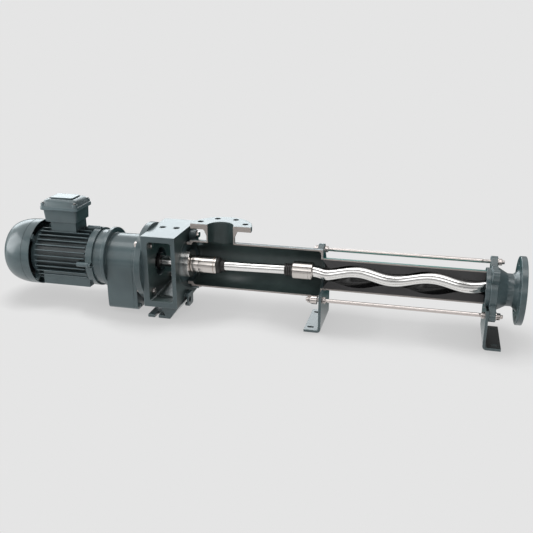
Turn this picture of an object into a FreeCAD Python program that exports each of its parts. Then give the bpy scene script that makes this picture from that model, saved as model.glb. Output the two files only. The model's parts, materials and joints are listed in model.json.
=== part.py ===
import FreeCAD, Part
import math
import os

from FreeCAD import Vector

# Progressive cavity pump with its gear motor, cut open along the pump axis.
# All sizes are in millimetres. X runs along the pump axis from the motor to the discharge flange,
# Y points away from the cut side, Z is up. While a piece is drawn, X = 0 and Y = 0 lie on the axis
# of the suction branch and Z = 0 lies on the pump axis. Every piece is then moved, so that the
# origin is on the floor below the middle of the whole unit.

AXIS_HEIGHT = 162.0

# Flanges, DN80 PN16
FLANGE_R = 100.0
FLANGE_PCD = 160.0
FLANGE_HOLES = 8
FLANGE_HOLE_R = 9.0
FLANGE_THICK = 17.0
PORT_R = 41.5
NECK_WALL = 5.0
HUB_WALL = 15.0
HUB_LENGTH = 20.0
DISCHARGE_WALL = 6.0

# Suction casing
SUCTION_FACE_Z = 133.0
CASING_R = 77.7
CASING_WALL = 5.5
CASING_END_WALL = 6.5
CASING_X0 = -103.0
CASING_X1 = 327.5
CASING_CORNER = 10.0
SPIGOT_R = 72.0
CASING_PLUG_X = -76.0
CASING_PLUG_Y = 24.0
CASING_PLUG_AF = 19.0
CASING_PLUG_HEAD = 10.0
CASING_PLUG_R = 6.0

# Tie rods, M12
ROD_R = 6.0
ROD_HOLE_R = 6.75
ROD_GAP = 0.27
ROD_X0 = 288.0
ROD_X1 = 859.0
EAR_R = 17.0
EAR_THICK = 19.0
EAR_BACKSET = 5.0
NUT_AF = 18.0
ROD_OFFSET = (CASING_R + NUT_AF / 2 + ROD_GAP) / math.sqrt(2)
NUT_THICK = 10.5
WASHER_R = 12.0
WASHER_THICK = 2.5
SPACER_R = 13.5

# Stator
STATOR_R = 51.5
STATOR_WALL = 4.5
STATOR_X1 = 806.0
LEAD_IN_R = 44.0
LEAD_IN_DEPTH = 20.0

# Rotor and its cavity
ROTOR_D = 37.0
ECCENTRICITY = 8.5
ROTOR_PITCH = 221.0
CREST_X = 431.0
CREST_ANGLE = 70.0
ORBIT_ANGLE = 110.0
ROTOR_CLEARANCE = 0.4
ROTOR_X1 = 812.0
ROTOR_RAMP = 52.0
SECTION_STEP = 13.0

# Joints and coupling rod
JOINT_R = 28.0
JOINT_HUB_R = 24.0
JOINT_BORE_R = 18.8
JOINT_PIN_R = 8.0
PIN_PLAY = 0.6
DRIVE_HEAD_X0 = -96.0
DRIVE_HEAD_X1 = -10.0
DRIVE_PIN_X = -44.0
ROTOR_HEAD_X0 = 235.0
ROTOR_HEAD_X1 = 299.5
ROTOR_PIN_X = 262.0
SLEEVE_HALF = 24.5
COUPLING_R = 16.0
RUNNING_GAP = 0.3
BOOT_LENGTH = 25.0
BOOT_WALL = 3.2

# Shaft and seal
PLUG_SHAFT_R = 17.5
OUTPUT_END_R = 14.0
PLUG_SHAFT_X0 = -200.0
OUTPUT_END_X1 = PLUG_SHAFT_X0 + 62.0
SEAL_SEAT_R = 62.0
SEAL_COVER_R = 44.5
SEAL_COVER_X1 = -97.0
SEAL_BORE_R = 18.3
SEAL_HOUSING_LENGTH = 12.0
SPLASH_RING_R = 27.0

# Lantern
LANTERN_X0 = -225.0
LANTERN_X1 = -114.0
LANTERN_TOP = 113.5
LANTERN_BOTTOM = -119.0
LANTERN_HALF_Y = 104.0
LANTERN_REAR_WALL = 20.0
LANTERN_FRONT_WALL = 14.0
WINDOW_TOP = 95.0
WINDOW_BOTTOM = -99.0
WINDOW_CORNER = 8.0
LANTERN_BORE_R = 45.0
TOP_HOLE_R = 10.0
TOP_HOLE_X = (-193.5, -147.0)
CASING_BOLT_Y = 40.0
CASING_BOLT_Z = 86.0
LUG_LENGTH = 23.0
LUG_R = 14.0
LANTERN_FOOT_X0 = -221.0
LANTERN_FOOT_X1 = -146.0
LANTERN_FOOT_THICK = 10.0
LANTERN_FOOT_HALF_Y = 90.0
LANTERN_SLOT_X = -191.5
LANTERN_SLOT_R = 6.0
LANTERN_SLOT_DEPTH = 26.0
WEB_TOP_X = -180.0
LANTERN_LUG_LENGTH = 14.0
LANTERN_LUG_Y = (-37.0, 6.0)
LANTERN_LUG_Z = (-137.0, -92.0)
LANTERN_LUG_HOLE_R = 9.0
DRAIN_RISE = 7.0
TOP_HOLE_Y = 4.5

# Plate feet
PLATE_THICK = 8.0
PLATE_HALF_Y = 81.0
PLATE_TOP = -40.0
PLATE_BEND = 12.0
PLATE_1_X = 337.5
PLATE_2_X = 819.0
PLATE_FOOT = 52.0
FOOT_SLOT_LENGTH = 20.0
FOOT_SLOT_R = 5.5
FOOT_SLOT_Y = 58.0
FOOT_SLOT_EDGE = 18.0

# Discharge branch
DISCHARGE_X = 913.0
END_RING_R = 60.0
EAR_PLATE_THICK = 20.0
EAR_PLATE_R = 66.0
CONE_X1 = 866.0
CONE_R = 63.0
FLARE = 14.0

# Gear unit
GEAR_FLANGE_R = 125.0
GEAR_FLANGE_THICK = 10.0
GEAR_FLANGE_BOLT = 76.0
GEAR_NECK_R = 84.0
HOUSING_X0 = -360.0
HOUSING_X1 = -270.0
HOUSING_R = 82.0
HOUSING_BOTTOM = -147.0
HOUSING_WALL = 9.0
HOUSING_CORNER = 12.0
COVER_PLATE = 12.0
BACK_RING_X = -372.0
BACK_RING_R = 99.5
ADAPTER_X0 = -403.0
ADAPTER_R = 90.0
ADAPTER_WALL = 10.0
CENTRE_DISTANCE = 70.0
GEAR_MODULE = 2.5
PINION_1_TEETH = 15
WHEEL_1_TEETH = 41
PINION_2_TEETH = 17
WHEEL_2_TEETH = 39
PRESSURE_ANGLE = 20.0
BACKLASH = 0.35
STAGE_1_X = HOUSING_X0 + 13.0
STAGE_1_WIDTH = 18.0
HOUSING_WEB_X = STAGE_1_X + STAGE_1_WIDTH + 3.0
HOUSING_WEB = 12.0
STAGE_2_X = HOUSING_WEB_X + HOUSING_WEB + 5.0
STAGE_2_WIDTH = 24.0
OUTPUT_R = 20.0
LAYSHAFT_R = 12.0
INPUT_BORE_R = 30.0

# Motor
MOTOR_X0 = -616.0
MOTOR_X1 = -425.0
MOTOR_R = 80.0
MOTOR_BORE_R = 71.0
FIN_R = 94.0
FIN_THICK = 3.2
FIN_STEP = 11.0
FAN_R = 84.0
FAN_HUB_R = 20.0
FAN_BLADES = 9
SHIELD_R = 96.0
SHIELD_WALL = 8.0
REAR_SHIELD_WALL = 12.0
SHAFT_R = 15.0
CORE_X0 = -585.0
CORE_X1 = -475.0
ROTOR_CORE_R = 45.0
AIR_GAP = 0.4
COWL_R = 108.5
COWL_X1 = -620.0
COWL_SEAM_X = -648.0
COWL_X0 = -725.0
COWL_END_R = 76.0
COWL_WALL = 2.5
GRILLE_SLOTS = 18
PAD_Y = (46.0, 76.0)
PAD_BOTTOM = -84.0
PAD_X0 = -590.0
LUG_BOSS_R = 8.0
LUG_BOSS_AT = 95.0
SHIELD_LUG = 12.0

# Terminal box
BOX_X0 = -588.0
BOX_X1 = -468.0
BOX_HALF_Y = 47.0
BOX_Z0 = 118.0
BOX_Z1 = 160.0
BOX_WALL = 4.0
BOX_CORNER = 10.0
LID_LIP = 6.5
LID_RIM = 9.0
LID_HEIGHT = 35.0
LID_SLOPE_X = 22.0
LID_SLOPE_Y = 29.0
LID_PANEL = 2.5
LID_BOSS_R = 8.5
LID_BOSS_HEIGHT = 22.0
LID_BOSS_INSET = 11.0
PEDESTAL_X0 = -568.0
PEDESTAL_X1 = -479.0
PEDESTAL_HALF_Y = 36.0
ENTRY_R = 12.0

BEARING_SPLIT = 0.3
SEAT_RELIEF = 1.0
EPS = 0.01

CENTRE_X = (COWL_X0 + DISCHARGE_X) / 2
X_AXIS = Vector(1, 0, 0)
Y_AXIS = Vector(0, 1, 0)
Z_AXIS = Vector(0, 0, 1)


def cyl(radius, x0, x1, y=0.0, z=0.0):
    """Cylinder along X."""
    return Part.makeCylinder(radius, x1 - x0, Vector(x0, y, z), X_AXIS)


def ring(outer, inner, x0, x1, y=0.0, z=0.0):
    return cyl(outer, x0, x1, y, z).cut(cyl(inner, x0 - 1, x1 + 1, y, z))


def upright(radius, z0, z1, x=0.0, y=0.0):
    return Part.makeCylinder(radius, z1 - z0, Vector(x, y, z0), Z_AXIS)


def box(x0, x1, y0, y1, z0, z1):
    return Part.makeBox(x1 - x0, y1 - y0, z1 - z0, Vector(x0, y0, z0))


def turned(points, axis=X_AXIS):
    """Body of revolution about X from (x, radius) points."""
    wire = Part.makePolygon([Vector(x, 0, r) for x, r in points + points[:1]])
    return Part.Face(wire).revolve(Vector(0, 0, 0), axis, 360)


def slab(points, y0, y1):
    """Prism along Y from (x, z) points."""
    wire = Part.makePolygon([Vector(x, y0, z) for x, z in points + points[:1]])
    return Part.Face(wire).extrude(Vector(0, y1 - y0, 0))


def hexagon(across_flats, x0, x1, y=0.0, z=0.0, flat_angle=30.0):
    """Hexagon prism along X with one flat facing flat_angle, degrees from +Y."""
    radius = across_flats / math.sqrt(3)
    corners = []
    for i in range(7):
        angle = math.radians(60 * i + 30 + flat_angle)
        corners.append(Vector(x0, y + radius * math.cos(angle), z + radius * math.sin(angle)))
    return Part.Face(Part.makePolygon(corners)).extrude(Vector(x1 - x0, 0, 0))


def fuse(shapes):
    result = shapes[0].multiFuse(shapes[1:])
    return result.removeSplitter()


def rounded(shape, radius, direction):
    """Round every straight edge of a block that runs along one direction."""
    edges = []
    for edge in shape.Edges:
        a, b = edge.Vertexes[0].Point, edge.Vertexes[-1].Point
        run = b - a
        if run.Length > EPS and abs(abs(run.normalize().dot(direction)) - 1) < 1e-6:
            edges.append(edge)
    return shape.makeFillet(radius, edges)


def round_edges(shape):
    return [e for e in shape.Edges if e.Curve.TypeId == "Part::GeomCircle"]


def turn_about_x(shape, angle, y=0.0, z=0.0):
    copy = shape.copy()
    copy.rotate(Vector(0, y, z), X_AXIS, angle)
    return copy


def compound(shapes):
    return Part.makeCompound(shapes)


def rear_half(shape):
    """Keep what the cut leaves: the half behind the plane through the pump axis."""
    keep = box(COWL_X0, DISCHARGE_X, 0, 2 * GEAR_FLANGE_R, -2 * AXIS_HEIGHT, 2 * AXIS_HEIGHT)
    return shape.common(keep)


def flange_hole_centres():
    for i in range(FLANGE_HOLES):
        angle = math.radians(360.0 / FLANGE_HOLES * (i + 0.5))
        yield FLANGE_PCD / 2 * math.cos(angle), FLANGE_PCD / 2 * math.sin(angle)


# Suction casing and discharge branch

def suction_branch():
    """Upright neck, tapered hub and flange: (radius, z) profile turned about Z."""
    neck = PORT_R + NECK_WALL
    under = SUCTION_FACE_Z - FLANGE_THICK
    points = [(0, 0), (neck, 0), (neck, under - HUB_LENGTH),
              (PORT_R + 0.8 * HUB_WALL, under - 0.2 * HUB_LENGTH), (PORT_R + HUB_WALL, under),
              (FLANGE_R, under), (FLANGE_R, SUCTION_FACE_Z), (0, SUCTION_FACE_Z)]
    wire = Part.makePolygon([Vector(r, 0, z) for r, z in points + points[:1]])
    return Part.Face(wire).revolve(Vector(0, 0, 0), Z_AXIS, 360)


def casing_lug(side):
    """Lug behind the cut that is bolted to the lantern, above or below the axis."""
    z = side * CASING_BOLT_Z
    boss = cyl(LUG_R, LANTERN_X1, LANTERN_X1 + LUG_LENGTH, CASING_BOLT_Y, z)
    low, high = sorted((0.0, z))
    web = box(LANTERN_X1, LANTERN_X1 + LUG_LENGTH, CASING_BOLT_Y - LUG_R, CASING_BOLT_Y + LUG_R,
              low, high)
    clear = cyl(CASING_R - CASING_WALL / 2, LANTERN_X1 - 1, CASING_X1)
    hole = cyl(ROD_HOLE_R, LANTERN_X1 - 1, CASING_X1, CASING_BOLT_Y, z)
    return boss.fuse(web).cut(clear.fuse(hole))


def tie_rod_ear(x0, x1, y, z, inner_r):
    """Ear for one tie rod: a bar from the round body to a round end."""
    reach = math.hypot(y, z)
    bar = box(x0, x1, 0, reach, -EAR_R, EAR_R)
    end = cyl(EAR_R, x0, x1, reach, 0)
    ear = turn_about_x(bar.fuse(end), math.degrees(math.atan2(z, y)))
    return ear.cut(cyl(inner_r, x0 - 1, x1 + 1)).cut(cyl(ROD_HOLE_R, x0 - 1, x1 + 1, y, z))


def suction_casing():
    shell = cyl(CASING_R, CASING_X0, CASING_X1)
    shell = shell.makeFillet(CASING_CORNER / 2, [e for e in round_edges(shell) if e.CenterOfMass.x > 0])
    spigot = cyl(SPIGOT_R, LANTERN_X1, CASING_X0 + 1)
    room = cyl(CASING_R - CASING_WALL, CASING_X0 + CASING_END_WALL, CASING_X1 - CASING_END_WALL)
    room = room.makeFillet(CASING_CORNER, round_edges(room))
    ear_x1 = CASING_X1 - EAR_BACKSET
    ears = [tie_rod_ear(ear_x1 - EAR_THICK, ear_x1, ROD_OFFSET, s * ROD_OFFSET, CASING_R - CASING_WALL / 2)
            for s in (-1, 1)]
    lugs = [casing_lug(s) for s in (-1, 1)]
    body = fuse([shell, spigot, suction_branch()] + ears + lugs)
    body = body.cut(room)
    body = body.cut(upright(PORT_R, 0, SUCTION_FACE_Z + 1))
    body = body.cut(cyl(SEAL_SEAT_R, LANTERN_X1 - 1, 0))
    body = body.cut(cyl(STATOR_R - STATOR_WALL, 0, CASING_X1 + 1))
    body = body.cut(upright(CASING_PLUG_R, CASING_PLUG_HEAD, CASING_R + 1, CASING_PLUG_X, CASING_PLUG_Y))
    for x, y in flange_hole_centres():
        body = body.cut(upright(FLANGE_HOLE_R, CASING_R, SUCTION_FACE_Z + 1, x, y))
    for s in (-1, 1):
        body = body.cut(cyl(ROD_HOLE_R, LANTERN_X1 - 1, LANTERN_X1 + LUG_LENGTH + 1,
                            CASING_BOLT_Y, s * CASING_BOLT_Z))
    return rear_half(body).removeSplitter()


def discharge_branch():
    """Eared plate, cone, neck, flare and flange in one casting."""
    plate_x0 = PLATE_2_X
    plate_x1 = plate_x0 + EAR_PLATE_THICK
    back = DISCHARGE_X - FLANGE_THICK
    neck = PORT_R + DISCHARGE_WALL
    body = turned([(plate_x0, 0), (plate_x0, EAR_PLATE_R), (plate_x1, EAR_PLATE_R), (plate_x1, CONE_R),
                   (CONE_X1, neck), (back - FLARE, neck), (back, neck + FLARE), (back, FLANGE_R),
                   (DISCHARGE_X, FLANGE_R), (DISCHARGE_X, 0)])
    ears = [tie_rod_ear(plate_x0, plate_x1, a * ROD_OFFSET, b * ROD_OFFSET, EAR_PLATE_R / 2)
            for a in (-1, 1) for b in (-1, 1)]
    body = fuse([body] + ears)
    body = body.cut(cyl(PORT_R, plate_x0 - 1, DISCHARGE_X + 1))
    for y, z in flange_hole_centres():
        body = body.cut(cyl(FLANGE_HOLE_R, back - 1, DISCHARGE_X + 1, y, z))
    for a in (-1, 1):
        for b in (-1, 1):
            body = body.cut(cyl(ROD_HOLE_R, plate_x0 - 1, plate_x1 + 1, a * ROD_OFFSET, b * ROD_OFFSET))
    return body.removeSplitter()


def casing_plug():
    """Hexagon plug screwed from inside through the casing's wall behind the branch."""
    inside = cyl(CASING_R - CASING_WALL, CASING_X0, 0)
    wall = cyl(CASING_R, CASING_X0, 0)
    roof = math.sqrt((CASING_R - CASING_WALL) ** 2 - CASING_PLUG_Y ** 2)
    head = hexagon(CASING_PLUG_AF, 0, CASING_R)
    head.rotate(Vector(0, 0, 0), Y_AXIS, -90)
    head.translate(Vector(CASING_PLUG_X, CASING_PLUG_Y, roof - CASING_PLUG_HEAD))
    stem = upright(CASING_PLUG_R, roof - CASING_PLUG_HEAD, CASING_R, CASING_PLUG_X, CASING_PLUG_Y)
    return head.common(inside).fuse(stem.common(wall)).removeSplitter()


# Stator and rotor

def helix_angle(x):
    """Direction of the rotor section's offset from the rotor's own axis, in degrees from +Y."""
    return CREST_ANGLE + 360.0 * (x - CREST_X) / ROTOR_PITCH


def rotor_axis_offset():
    a = math.radians(ORBIT_ANGLE)
    return ECCENTRICITY * math.cos(a), ECCENTRICITY * math.sin(a)


def rotor_section(x):
    """Centre of the round section: it swings out from the rotor's axis over the first stretch."""
    swing = min(1.0, max(0.0, (x - ROTOR_HEAD_X1) / ROTOR_RAMP))
    swing = ECCENTRICITY * swing * swing * (3 - 2 * swing)
    a = math.radians(helix_angle(x))
    y0, z0 = rotor_axis_offset()
    return y0 + swing * math.cos(a), z0 + swing * math.sin(a)


def stations(x0, x1):
    count = math.ceil((x1 - x0) / SECTION_STEP)
    return [x0 + (x1 - x0) * i / count for i in range(count + 1)]


def rotor():
    wires = []
    for x in stations(ROTOR_HEAD_X1, ROTOR_X1):
        y, z = rotor_section(x)
        circle = Part.Circle(Vector(x, y, z), X_AXIS, ROTOR_D / 2)
        wires.append(Part.Wire(circle.toShape()))
    return Part.makeLoft(wires, True, False)


def slot_wire(x):
    """Long round-ended section of the cavity, turned to its place along the stator."""
    angle = (ORBIT_ANGLE + helix_angle(x)) / 2
    radius = ROTOR_D / 2 + ROTOR_CLEARANCE
    half = 2 * ECCENTRICITY
    top_left = Vector(x, half, radius)
    top_right = Vector(x, -half, radius)
    low_left = Vector(x, half, -radius)
    low_right = Vector(x, -half, -radius)
    wire = Part.Wire([
        Part.makeLine(top_left, top_right),
        Part.Arc(top_right, Vector(x, -half - radius, 0), low_right).toShape(),
        Part.makeLine(low_right, low_left),
        Part.Arc(low_left, Vector(x, half + radius, 0), top_left).toShape(),
    ])
    wire.rotate(Vector(0, 0, 0), X_AXIS, angle)
    return wire


def stator_cavity():
    wires = [slot_wire(x) for x in stations(CASING_X1 - 4.0, STATOR_X1 + 4.0)]
    return Part.makeLoft(wires, True, False)


def stator_rubber():
    body = cyl(STATOR_R - STATOR_WALL, CASING_X1, STATOR_X1)
    body = body.cut(stator_cavity())
    cone_end = ROTOR_D / 2 + ROTOR_CLEARANCE
    cone = turned([(CASING_X1 - 1, 0), (CASING_X1 - 1, LEAD_IN_R), (CASING_X1, LEAD_IN_R),
                   (CASING_X1 + LEAD_IN_DEPTH, cone_end), (CASING_X1 + LEAD_IN_DEPTH, 0)])
    return rear_half(body.cut(cone))


def stator_tube():
    return rear_half(ring(STATOR_R, STATOR_R - STATOR_WALL, CASING_X1, STATOR_X1))


def stator_end_ring():
    return ring(END_RING_R, PORT_R + 1.5, STATOR_X1, PLATE_2_X)


# Joints and coupling rod

def coupling_tilt():
    """Axis of the coupling rod: from the drive joint's centre to the rotor joint's centre."""
    y, z = rotor_axis_offset()
    return Vector(DRIVE_PIN_X, 0, 0), Vector(ROTOR_PIN_X, y, z)


def along_coupling(radius, x0, x1):
    """Cylinder on the coupling rod's own axis between two stations."""
    a, b = coupling_tilt()
    direction = (b - a).normalize()
    base = a + direction * ((x0 - a.x) / direction.x)
    return Part.makeCylinder(radius, (x1 - x0) / direction.x, base, direction)


def pin_across(x, radius, length, y=0.0, z=0.0):
    return Part.makeCylinder(radius, length, Vector(x, y, z - length / 2), Z_AXIS)


def coupling_rod():
    """Rod with a pin hole square to its own axis near each end."""
    end = COUPLING_R - 1.0
    rod = along_coupling(COUPLING_R, DRIVE_PIN_X - end, ROTOR_PIN_X + end)
    a, b = coupling_tilt()
    along = (b - a).normalize()
    across = (Z_AXIS - along * Z_AXIS.dot(along)).normalize()
    for centre in (a, b):
        start = centre - across * (2 * COUPLING_R)
        rod = rod.cut(Part.makeCylinder(JOINT_PIN_R + PIN_PLAY, 4 * COUPLING_R, start, across))
    return rod


def joint_head(x0, x1, open_x, closed_x, pin_x, y=0.0, z=0.0):
    """Round head with a blind bore for the rod's end; its middle is turned down for the sleeve."""
    head = cyl(JOINT_R, x0, x1, y, z)
    groove = ring(JOINT_R + 1, JOINT_HUB_R, pin_x - SLEEVE_HALF, pin_x + SLEEVE_HALF, y, z)
    low, high = sorted((open_x, closed_x))
    head = head.cut(groove).cut(cyl(JOINT_BORE_R, low, high, y, z))
    return head.cut(pin_across(pin_x, JOINT_PIN_R, 4 * JOINT_R, y, z))


def drive_joint_head():
    closed = DRIVE_PIN_X - COUPLING_R - 4.0
    return joint_head(DRIVE_HEAD_X0, DRIVE_HEAD_X1, DRIVE_HEAD_X1 + 1, closed, DRIVE_PIN_X)


def rotor_joint_head():
    y, z = rotor_axis_offset()
    closed = ROTOR_PIN_X + COUPLING_R + 4.0
    return joint_head(ROTOR_HEAD_X0, ROTOR_HEAD_X1, ROTOR_HEAD_X0 - 1, closed, ROTOR_PIN_X, y, z)


def joint_sleeve(pin_x, y=0.0, z=0.0):
    return ring(JOINT_R, JOINT_HUB_R, pin_x - SLEEVE_HALF, pin_x + SLEEVE_HALF, y, z)


def joint_pin(pin_x, y=0.0, z=0.0):
    """Cross pin that ends just below the sleeve."""
    reach = math.sqrt(JOINT_HUB_R ** 2 - JOINT_PIN_R ** 2)
    return pin_across(pin_x, JOINT_PIN_R, 2 * reach - RUNNING_GAP, y, z)


def drive_boot():
    """Rubber collar between the drive joint's face and the rod."""
    x0 = DRIVE_HEAD_X1 + RUNNING_GAP
    x1 = x0 + BOOT_LENGTH
    collar = along_coupling(COUPLING_R + BOOT_WALL - 1.2, x0 + 6.0, x1)
    cuff = along_coupling(COUPLING_R + BOOT_WALL + 3.0, x0 + 2.0, x0 + 11.0)
    body = fuse([collar, cuff, cyl(COUPLING_R + BOOT_WALL, x0, x0 + 7.0)])
    return body.cut(along_coupling(COUPLING_R + RUNNING_GAP, x0 - 5.0, x1 + 5.0))


def rotor_boot():
    """Ribbed rubber collar between the rod and the rotor joint's face."""
    x1 = ROTOR_HEAD_X0 - RUNNING_GAP
    x0 = x1 - BOOT_LENGTH
    y, z = rotor_axis_offset()
    pieces = [along_coupling(COUPLING_R + BOOT_WALL - 1.4, x0, x1 - 2.0),
              cyl(COUPLING_R + BOOT_WALL, x1 - 4.0, x1, y, z)]
    for i in range(3):
        pieces.append(along_coupling(COUPLING_R + BOOT_WALL + 0.4, x0 + 2.0 + 6.5 * i, x0 + 6.0 + 6.5 * i))
    return fuse(pieces).cut(along_coupling(COUPLING_R + RUNNING_GAP, x0 - 5.0, x1 + 5.0))


# Shaft and seal

def plug_in_shaft():
    shaft = cyl(PLUG_SHAFT_R, PLUG_SHAFT_X0, DRIVE_HEAD_X0)
    return shaft.cut(cyl(OUTPUT_END_R, PLUG_SHAFT_X0 - 1, OUTPUT_END_X1))


def splash_ring():
    return ring(SPLASH_RING_R, OUTPUT_END_R, PLUG_SHAFT_X0 - 8.0, PLUG_SHAFT_X0)


def seal_housing():
    x0 = LANTERN_X1 - LANTERN_FRONT_WALL
    x1 = x0 + SEAL_HOUSING_LENGTH
    return ring(SEAL_SEAT_R, SEAL_COVER_R, x0, x1)


def seal_cover():
    x0 = LANTERN_X1 - 7.0
    body = ring(SEAL_COVER_R, SEAL_BORE_R, x0, SEAL_COVER_X1)
    return body.cut(cyl(SEAL_BORE_R + 14.0, x0 - 1, SEAL_COVER_X1 - 8.0))


def stationary_seal_ring():
    return ring(SEAL_BORE_R + 14.0, SEAL_BORE_R, SEAL_COVER_X1 - 15.0, SEAL_COVER_X1 - 8.0)


def rotating_seal_ring():
    x1 = SEAL_COVER_X1 - 15.0 - RUNNING_GAP
    return ring(SEAL_BORE_R + 9.0, PLUG_SHAFT_R, x1 - 8.0, x1)


# Lantern

def lantern_foot():
    """Foot plate with an open slot at each side, and the slanting web that carries it."""
    floor = -AXIS_HEIGHT
    top = floor + LANTERN_FOOT_THICK
    half = LANTERN_FOOT_HALF_Y
    plate = box(LANTERN_FOOT_X0, LANTERN_FOOT_X1, -half, half, floor, top)
    for side in (-1, 1):
        slot_y = side * (half - LANTERN_SLOT_DEPTH)
        low, high = sorted((slot_y, side * (half + 1)))
        mouth = box(LANTERN_SLOT_X - LANTERN_SLOT_R, LANTERN_SLOT_X + LANTERN_SLOT_R, low, high,
                    floor - 1, top + 1)
        plate = plate.cut(mouth).cut(upright(LANTERN_SLOT_R, floor - 1, top + 1, LANTERN_SLOT_X, slot_y))
    web = slab([(WEB_TOP_X, LANTERN_BOTTOM + 1), (LANTERN_X1, LANTERN_BOTTOM + 1),
                (LANTERN_X1, LANTERN_BOTTOM), (LANTERN_FOOT_X1, floor),
                (LANTERN_FOOT_X1 - LANTERN_FOOT_THICK, floor)], -half, half)
    return [plate, web]


def lantern_lug():
    """Bolt lug low on the face towards the casing, with a pocket for the nut."""
    y0, y1 = LANTERN_LUG_Y
    z0, z1 = LANTERN_LUG_Z
    x1 = LANTERN_X1 + LANTERN_LUG_LENGTH
    block = rounded(box(LANTERN_X1, x1, y0, y1, z0, z1), LANTERN_LUG_HOLE_R, X_AXIS)
    y = y0 + 1.5 * LANTERN_LUG_HOLE_R
    z = (z0 + z1) / 2
    pocket = box(LANTERN_X1, LANTERN_X1 + LANTERN_LUG_LENGTH / 2, y0 - 1, y + LANTERN_LUG_HOLE_R,
                 z - 1.2 * LANTERN_LUG_HOLE_R, z + 1.2 * LANTERN_LUG_HOLE_R)
    return block.cut(cyl(LANTERN_LUG_HOLE_R, LANTERN_X1, x1 + 1, y, z)).cut(pocket)


def drain_ridge():
    """Low ridge on the lantern's floor that leads drips to both sides."""
    x0, x1 = LANTERN_X0 + LANTERN_REAR_WALL, LANTERN_X1 - LANTERN_FRONT_WALL
    ends = []
    for y, ridge_x in ((-0.58 * LANTERN_HALF_Y, x0 + 0.35 * (x1 - x0)), (LANTERN_HALF_Y, x0 + 1)):
        corners_at = [Vector(x0, y, WINDOW_BOTTOM - 1), Vector(x0, y, WINDOW_BOTTOM),
                      Vector(ridge_x, y, WINDOW_BOTTOM + DRAIN_RISE), Vector(x1, y, WINDOW_BOTTOM),
                      Vector(x1, y, WINDOW_BOTTOM - 1)]
        ends.append(Part.makePolygon(corners_at + corners_at[:1]))
    return Part.makeLoft(ends, True, True)


def lantern():
    block = box(LANTERN_X0, LANTERN_X1, -LANTERN_HALF_Y, LANTERN_HALF_Y, LANTERN_BOTTOM, LANTERN_TOP)
    window = box(LANTERN_X0 + LANTERN_REAR_WALL, LANTERN_X1 - LANTERN_FRONT_WALL,
                 -LANTERN_HALF_Y - 1, LANTERN_HALF_Y + 1, WINDOW_BOTTOM, WINDOW_TOP)
    window = rounded(window, WINDOW_CORNER, Y_AXIS)
    body = fuse([block] + lantern_foot()).cut(window).fuse([lantern_lug(), drain_ridge()])
    body = body.cut(cyl(LANTERN_BORE_R, LANTERN_X0 - 1, LANTERN_X0 + LANTERN_REAR_WALL + 1))
    body = body.cut(cyl(SEAL_SEAT_R, LANTERN_X1 - LANTERN_FRONT_WALL - 1, LANTERN_X1 + 1))
    for x in TOP_HOLE_X:
        body = body.cut(upright(TOP_HOLE_R, WINDOW_TOP - 1, LANTERN_TOP + 1, x, TOP_HOLE_Y))
    for a in (-1, 1):
        for b in (-1, 1):
            body = body.cut(cyl(ROD_HOLE_R, LANTERN_X0 - 1, LANTERN_X0 + LANTERN_REAR_WALL + 1,
                                a * GEAR_FLANGE_BOLT, b * GEAR_FLANGE_BOLT))
        body = body.cut(cyl(ROD_R, LANTERN_X1 - LANTERN_FRONT_WALL - 1, LANTERN_X1 + 1,
                            CASING_BOLT_Y, a * CASING_BOLT_Z))
    return body.removeSplitter()


def hex_bolt(x_head, x_tip, y, z, head_thick=8.0):
    """M12 bolt along X; the head sits at x_head and the shank runs to x_tip."""
    side = 1.0 if x_tip > x_head else -1.0
    h0, h1 = sorted((x_head - side * head_thick, x_head))
    s0, s1 = sorted((x_head, x_tip))
    return hexagon(NUT_AF, h0, h1, y, z).fuse(cyl(ROD_R, s0, s1, y, z)).removeSplitter()


def hex_nut(x0, y, z):
    """M12 nut with one flat facing the pump axis."""
    flat_angle = math.degrees(math.atan2(z, y))
    body = hexagon(NUT_AF, x0, x0 + NUT_THICK, y, z, flat_angle)
    return body.cut(cyl(ROD_R, x0 - 1, x0 + NUT_THICK + 1, y, z))


def corners(distance):
    return [(a * distance, b * distance) for a in (-1, 1) for b in (-1, 1)]


def gear_flange_bolts():
    tip = LANTERN_X0 - GEAR_FLANGE_THICK - NUT_THICK - 12.0
    x_head = LANTERN_X0 + LANTERN_REAR_WALL
    return compound([hex_bolt(x_head, tip, y, z) for y, z in corners(GEAR_FLANGE_BOLT)])


def gear_flange_nuts():
    x0 = LANTERN_X0 - GEAR_FLANGE_THICK - 10.0 - NUT_THICK
    return compound([hex_nut(x0, y, z) for y, z in corners(GEAR_FLANGE_BOLT)])


def casing_bolts():
    x_head = LANTERN_X1 + LUG_LENGTH
    tip = LANTERN_X1 - LANTERN_FRONT_WALL
    return compound([hex_bolt(x_head, tip, CASING_BOLT_Y, s * CASING_BOLT_Z) for s in (-1, 1)])


# Tie rods and plate feet

TIE_RODS = ((ROD_OFFSET, ROD_OFFSET), (ROD_OFFSET, -ROD_OFFSET), (-ROD_OFFSET, -ROD_OFFSET))


def tie_rods():
    return compound([cyl(ROD_R, ROD_X0, ROD_X1, y, z) for y, z in TIE_RODS])


def nut_stations(y, z):
    """Left faces of the nuts on one rod: either side of the casing's ear, and at the discharge."""
    ear_x1 = CASING_X1 - EAR_BACKSET
    places = [ear_x1 - EAR_THICK - NUT_THICK, PLATE_2_X + EAR_PLATE_THICK + WASHER_THICK]
    if z > 0:
        places.append(ear_x1)
    else:
        places.append(PLATE_1_X)
        places.append(PLATE_2_X - PLATE_THICK - NUT_THICK)
    return places


def tie_rod_nuts():
    return compound([hex_nut(x, y, z) for y, z in TIE_RODS for x in nut_stations(y, z)])


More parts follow.
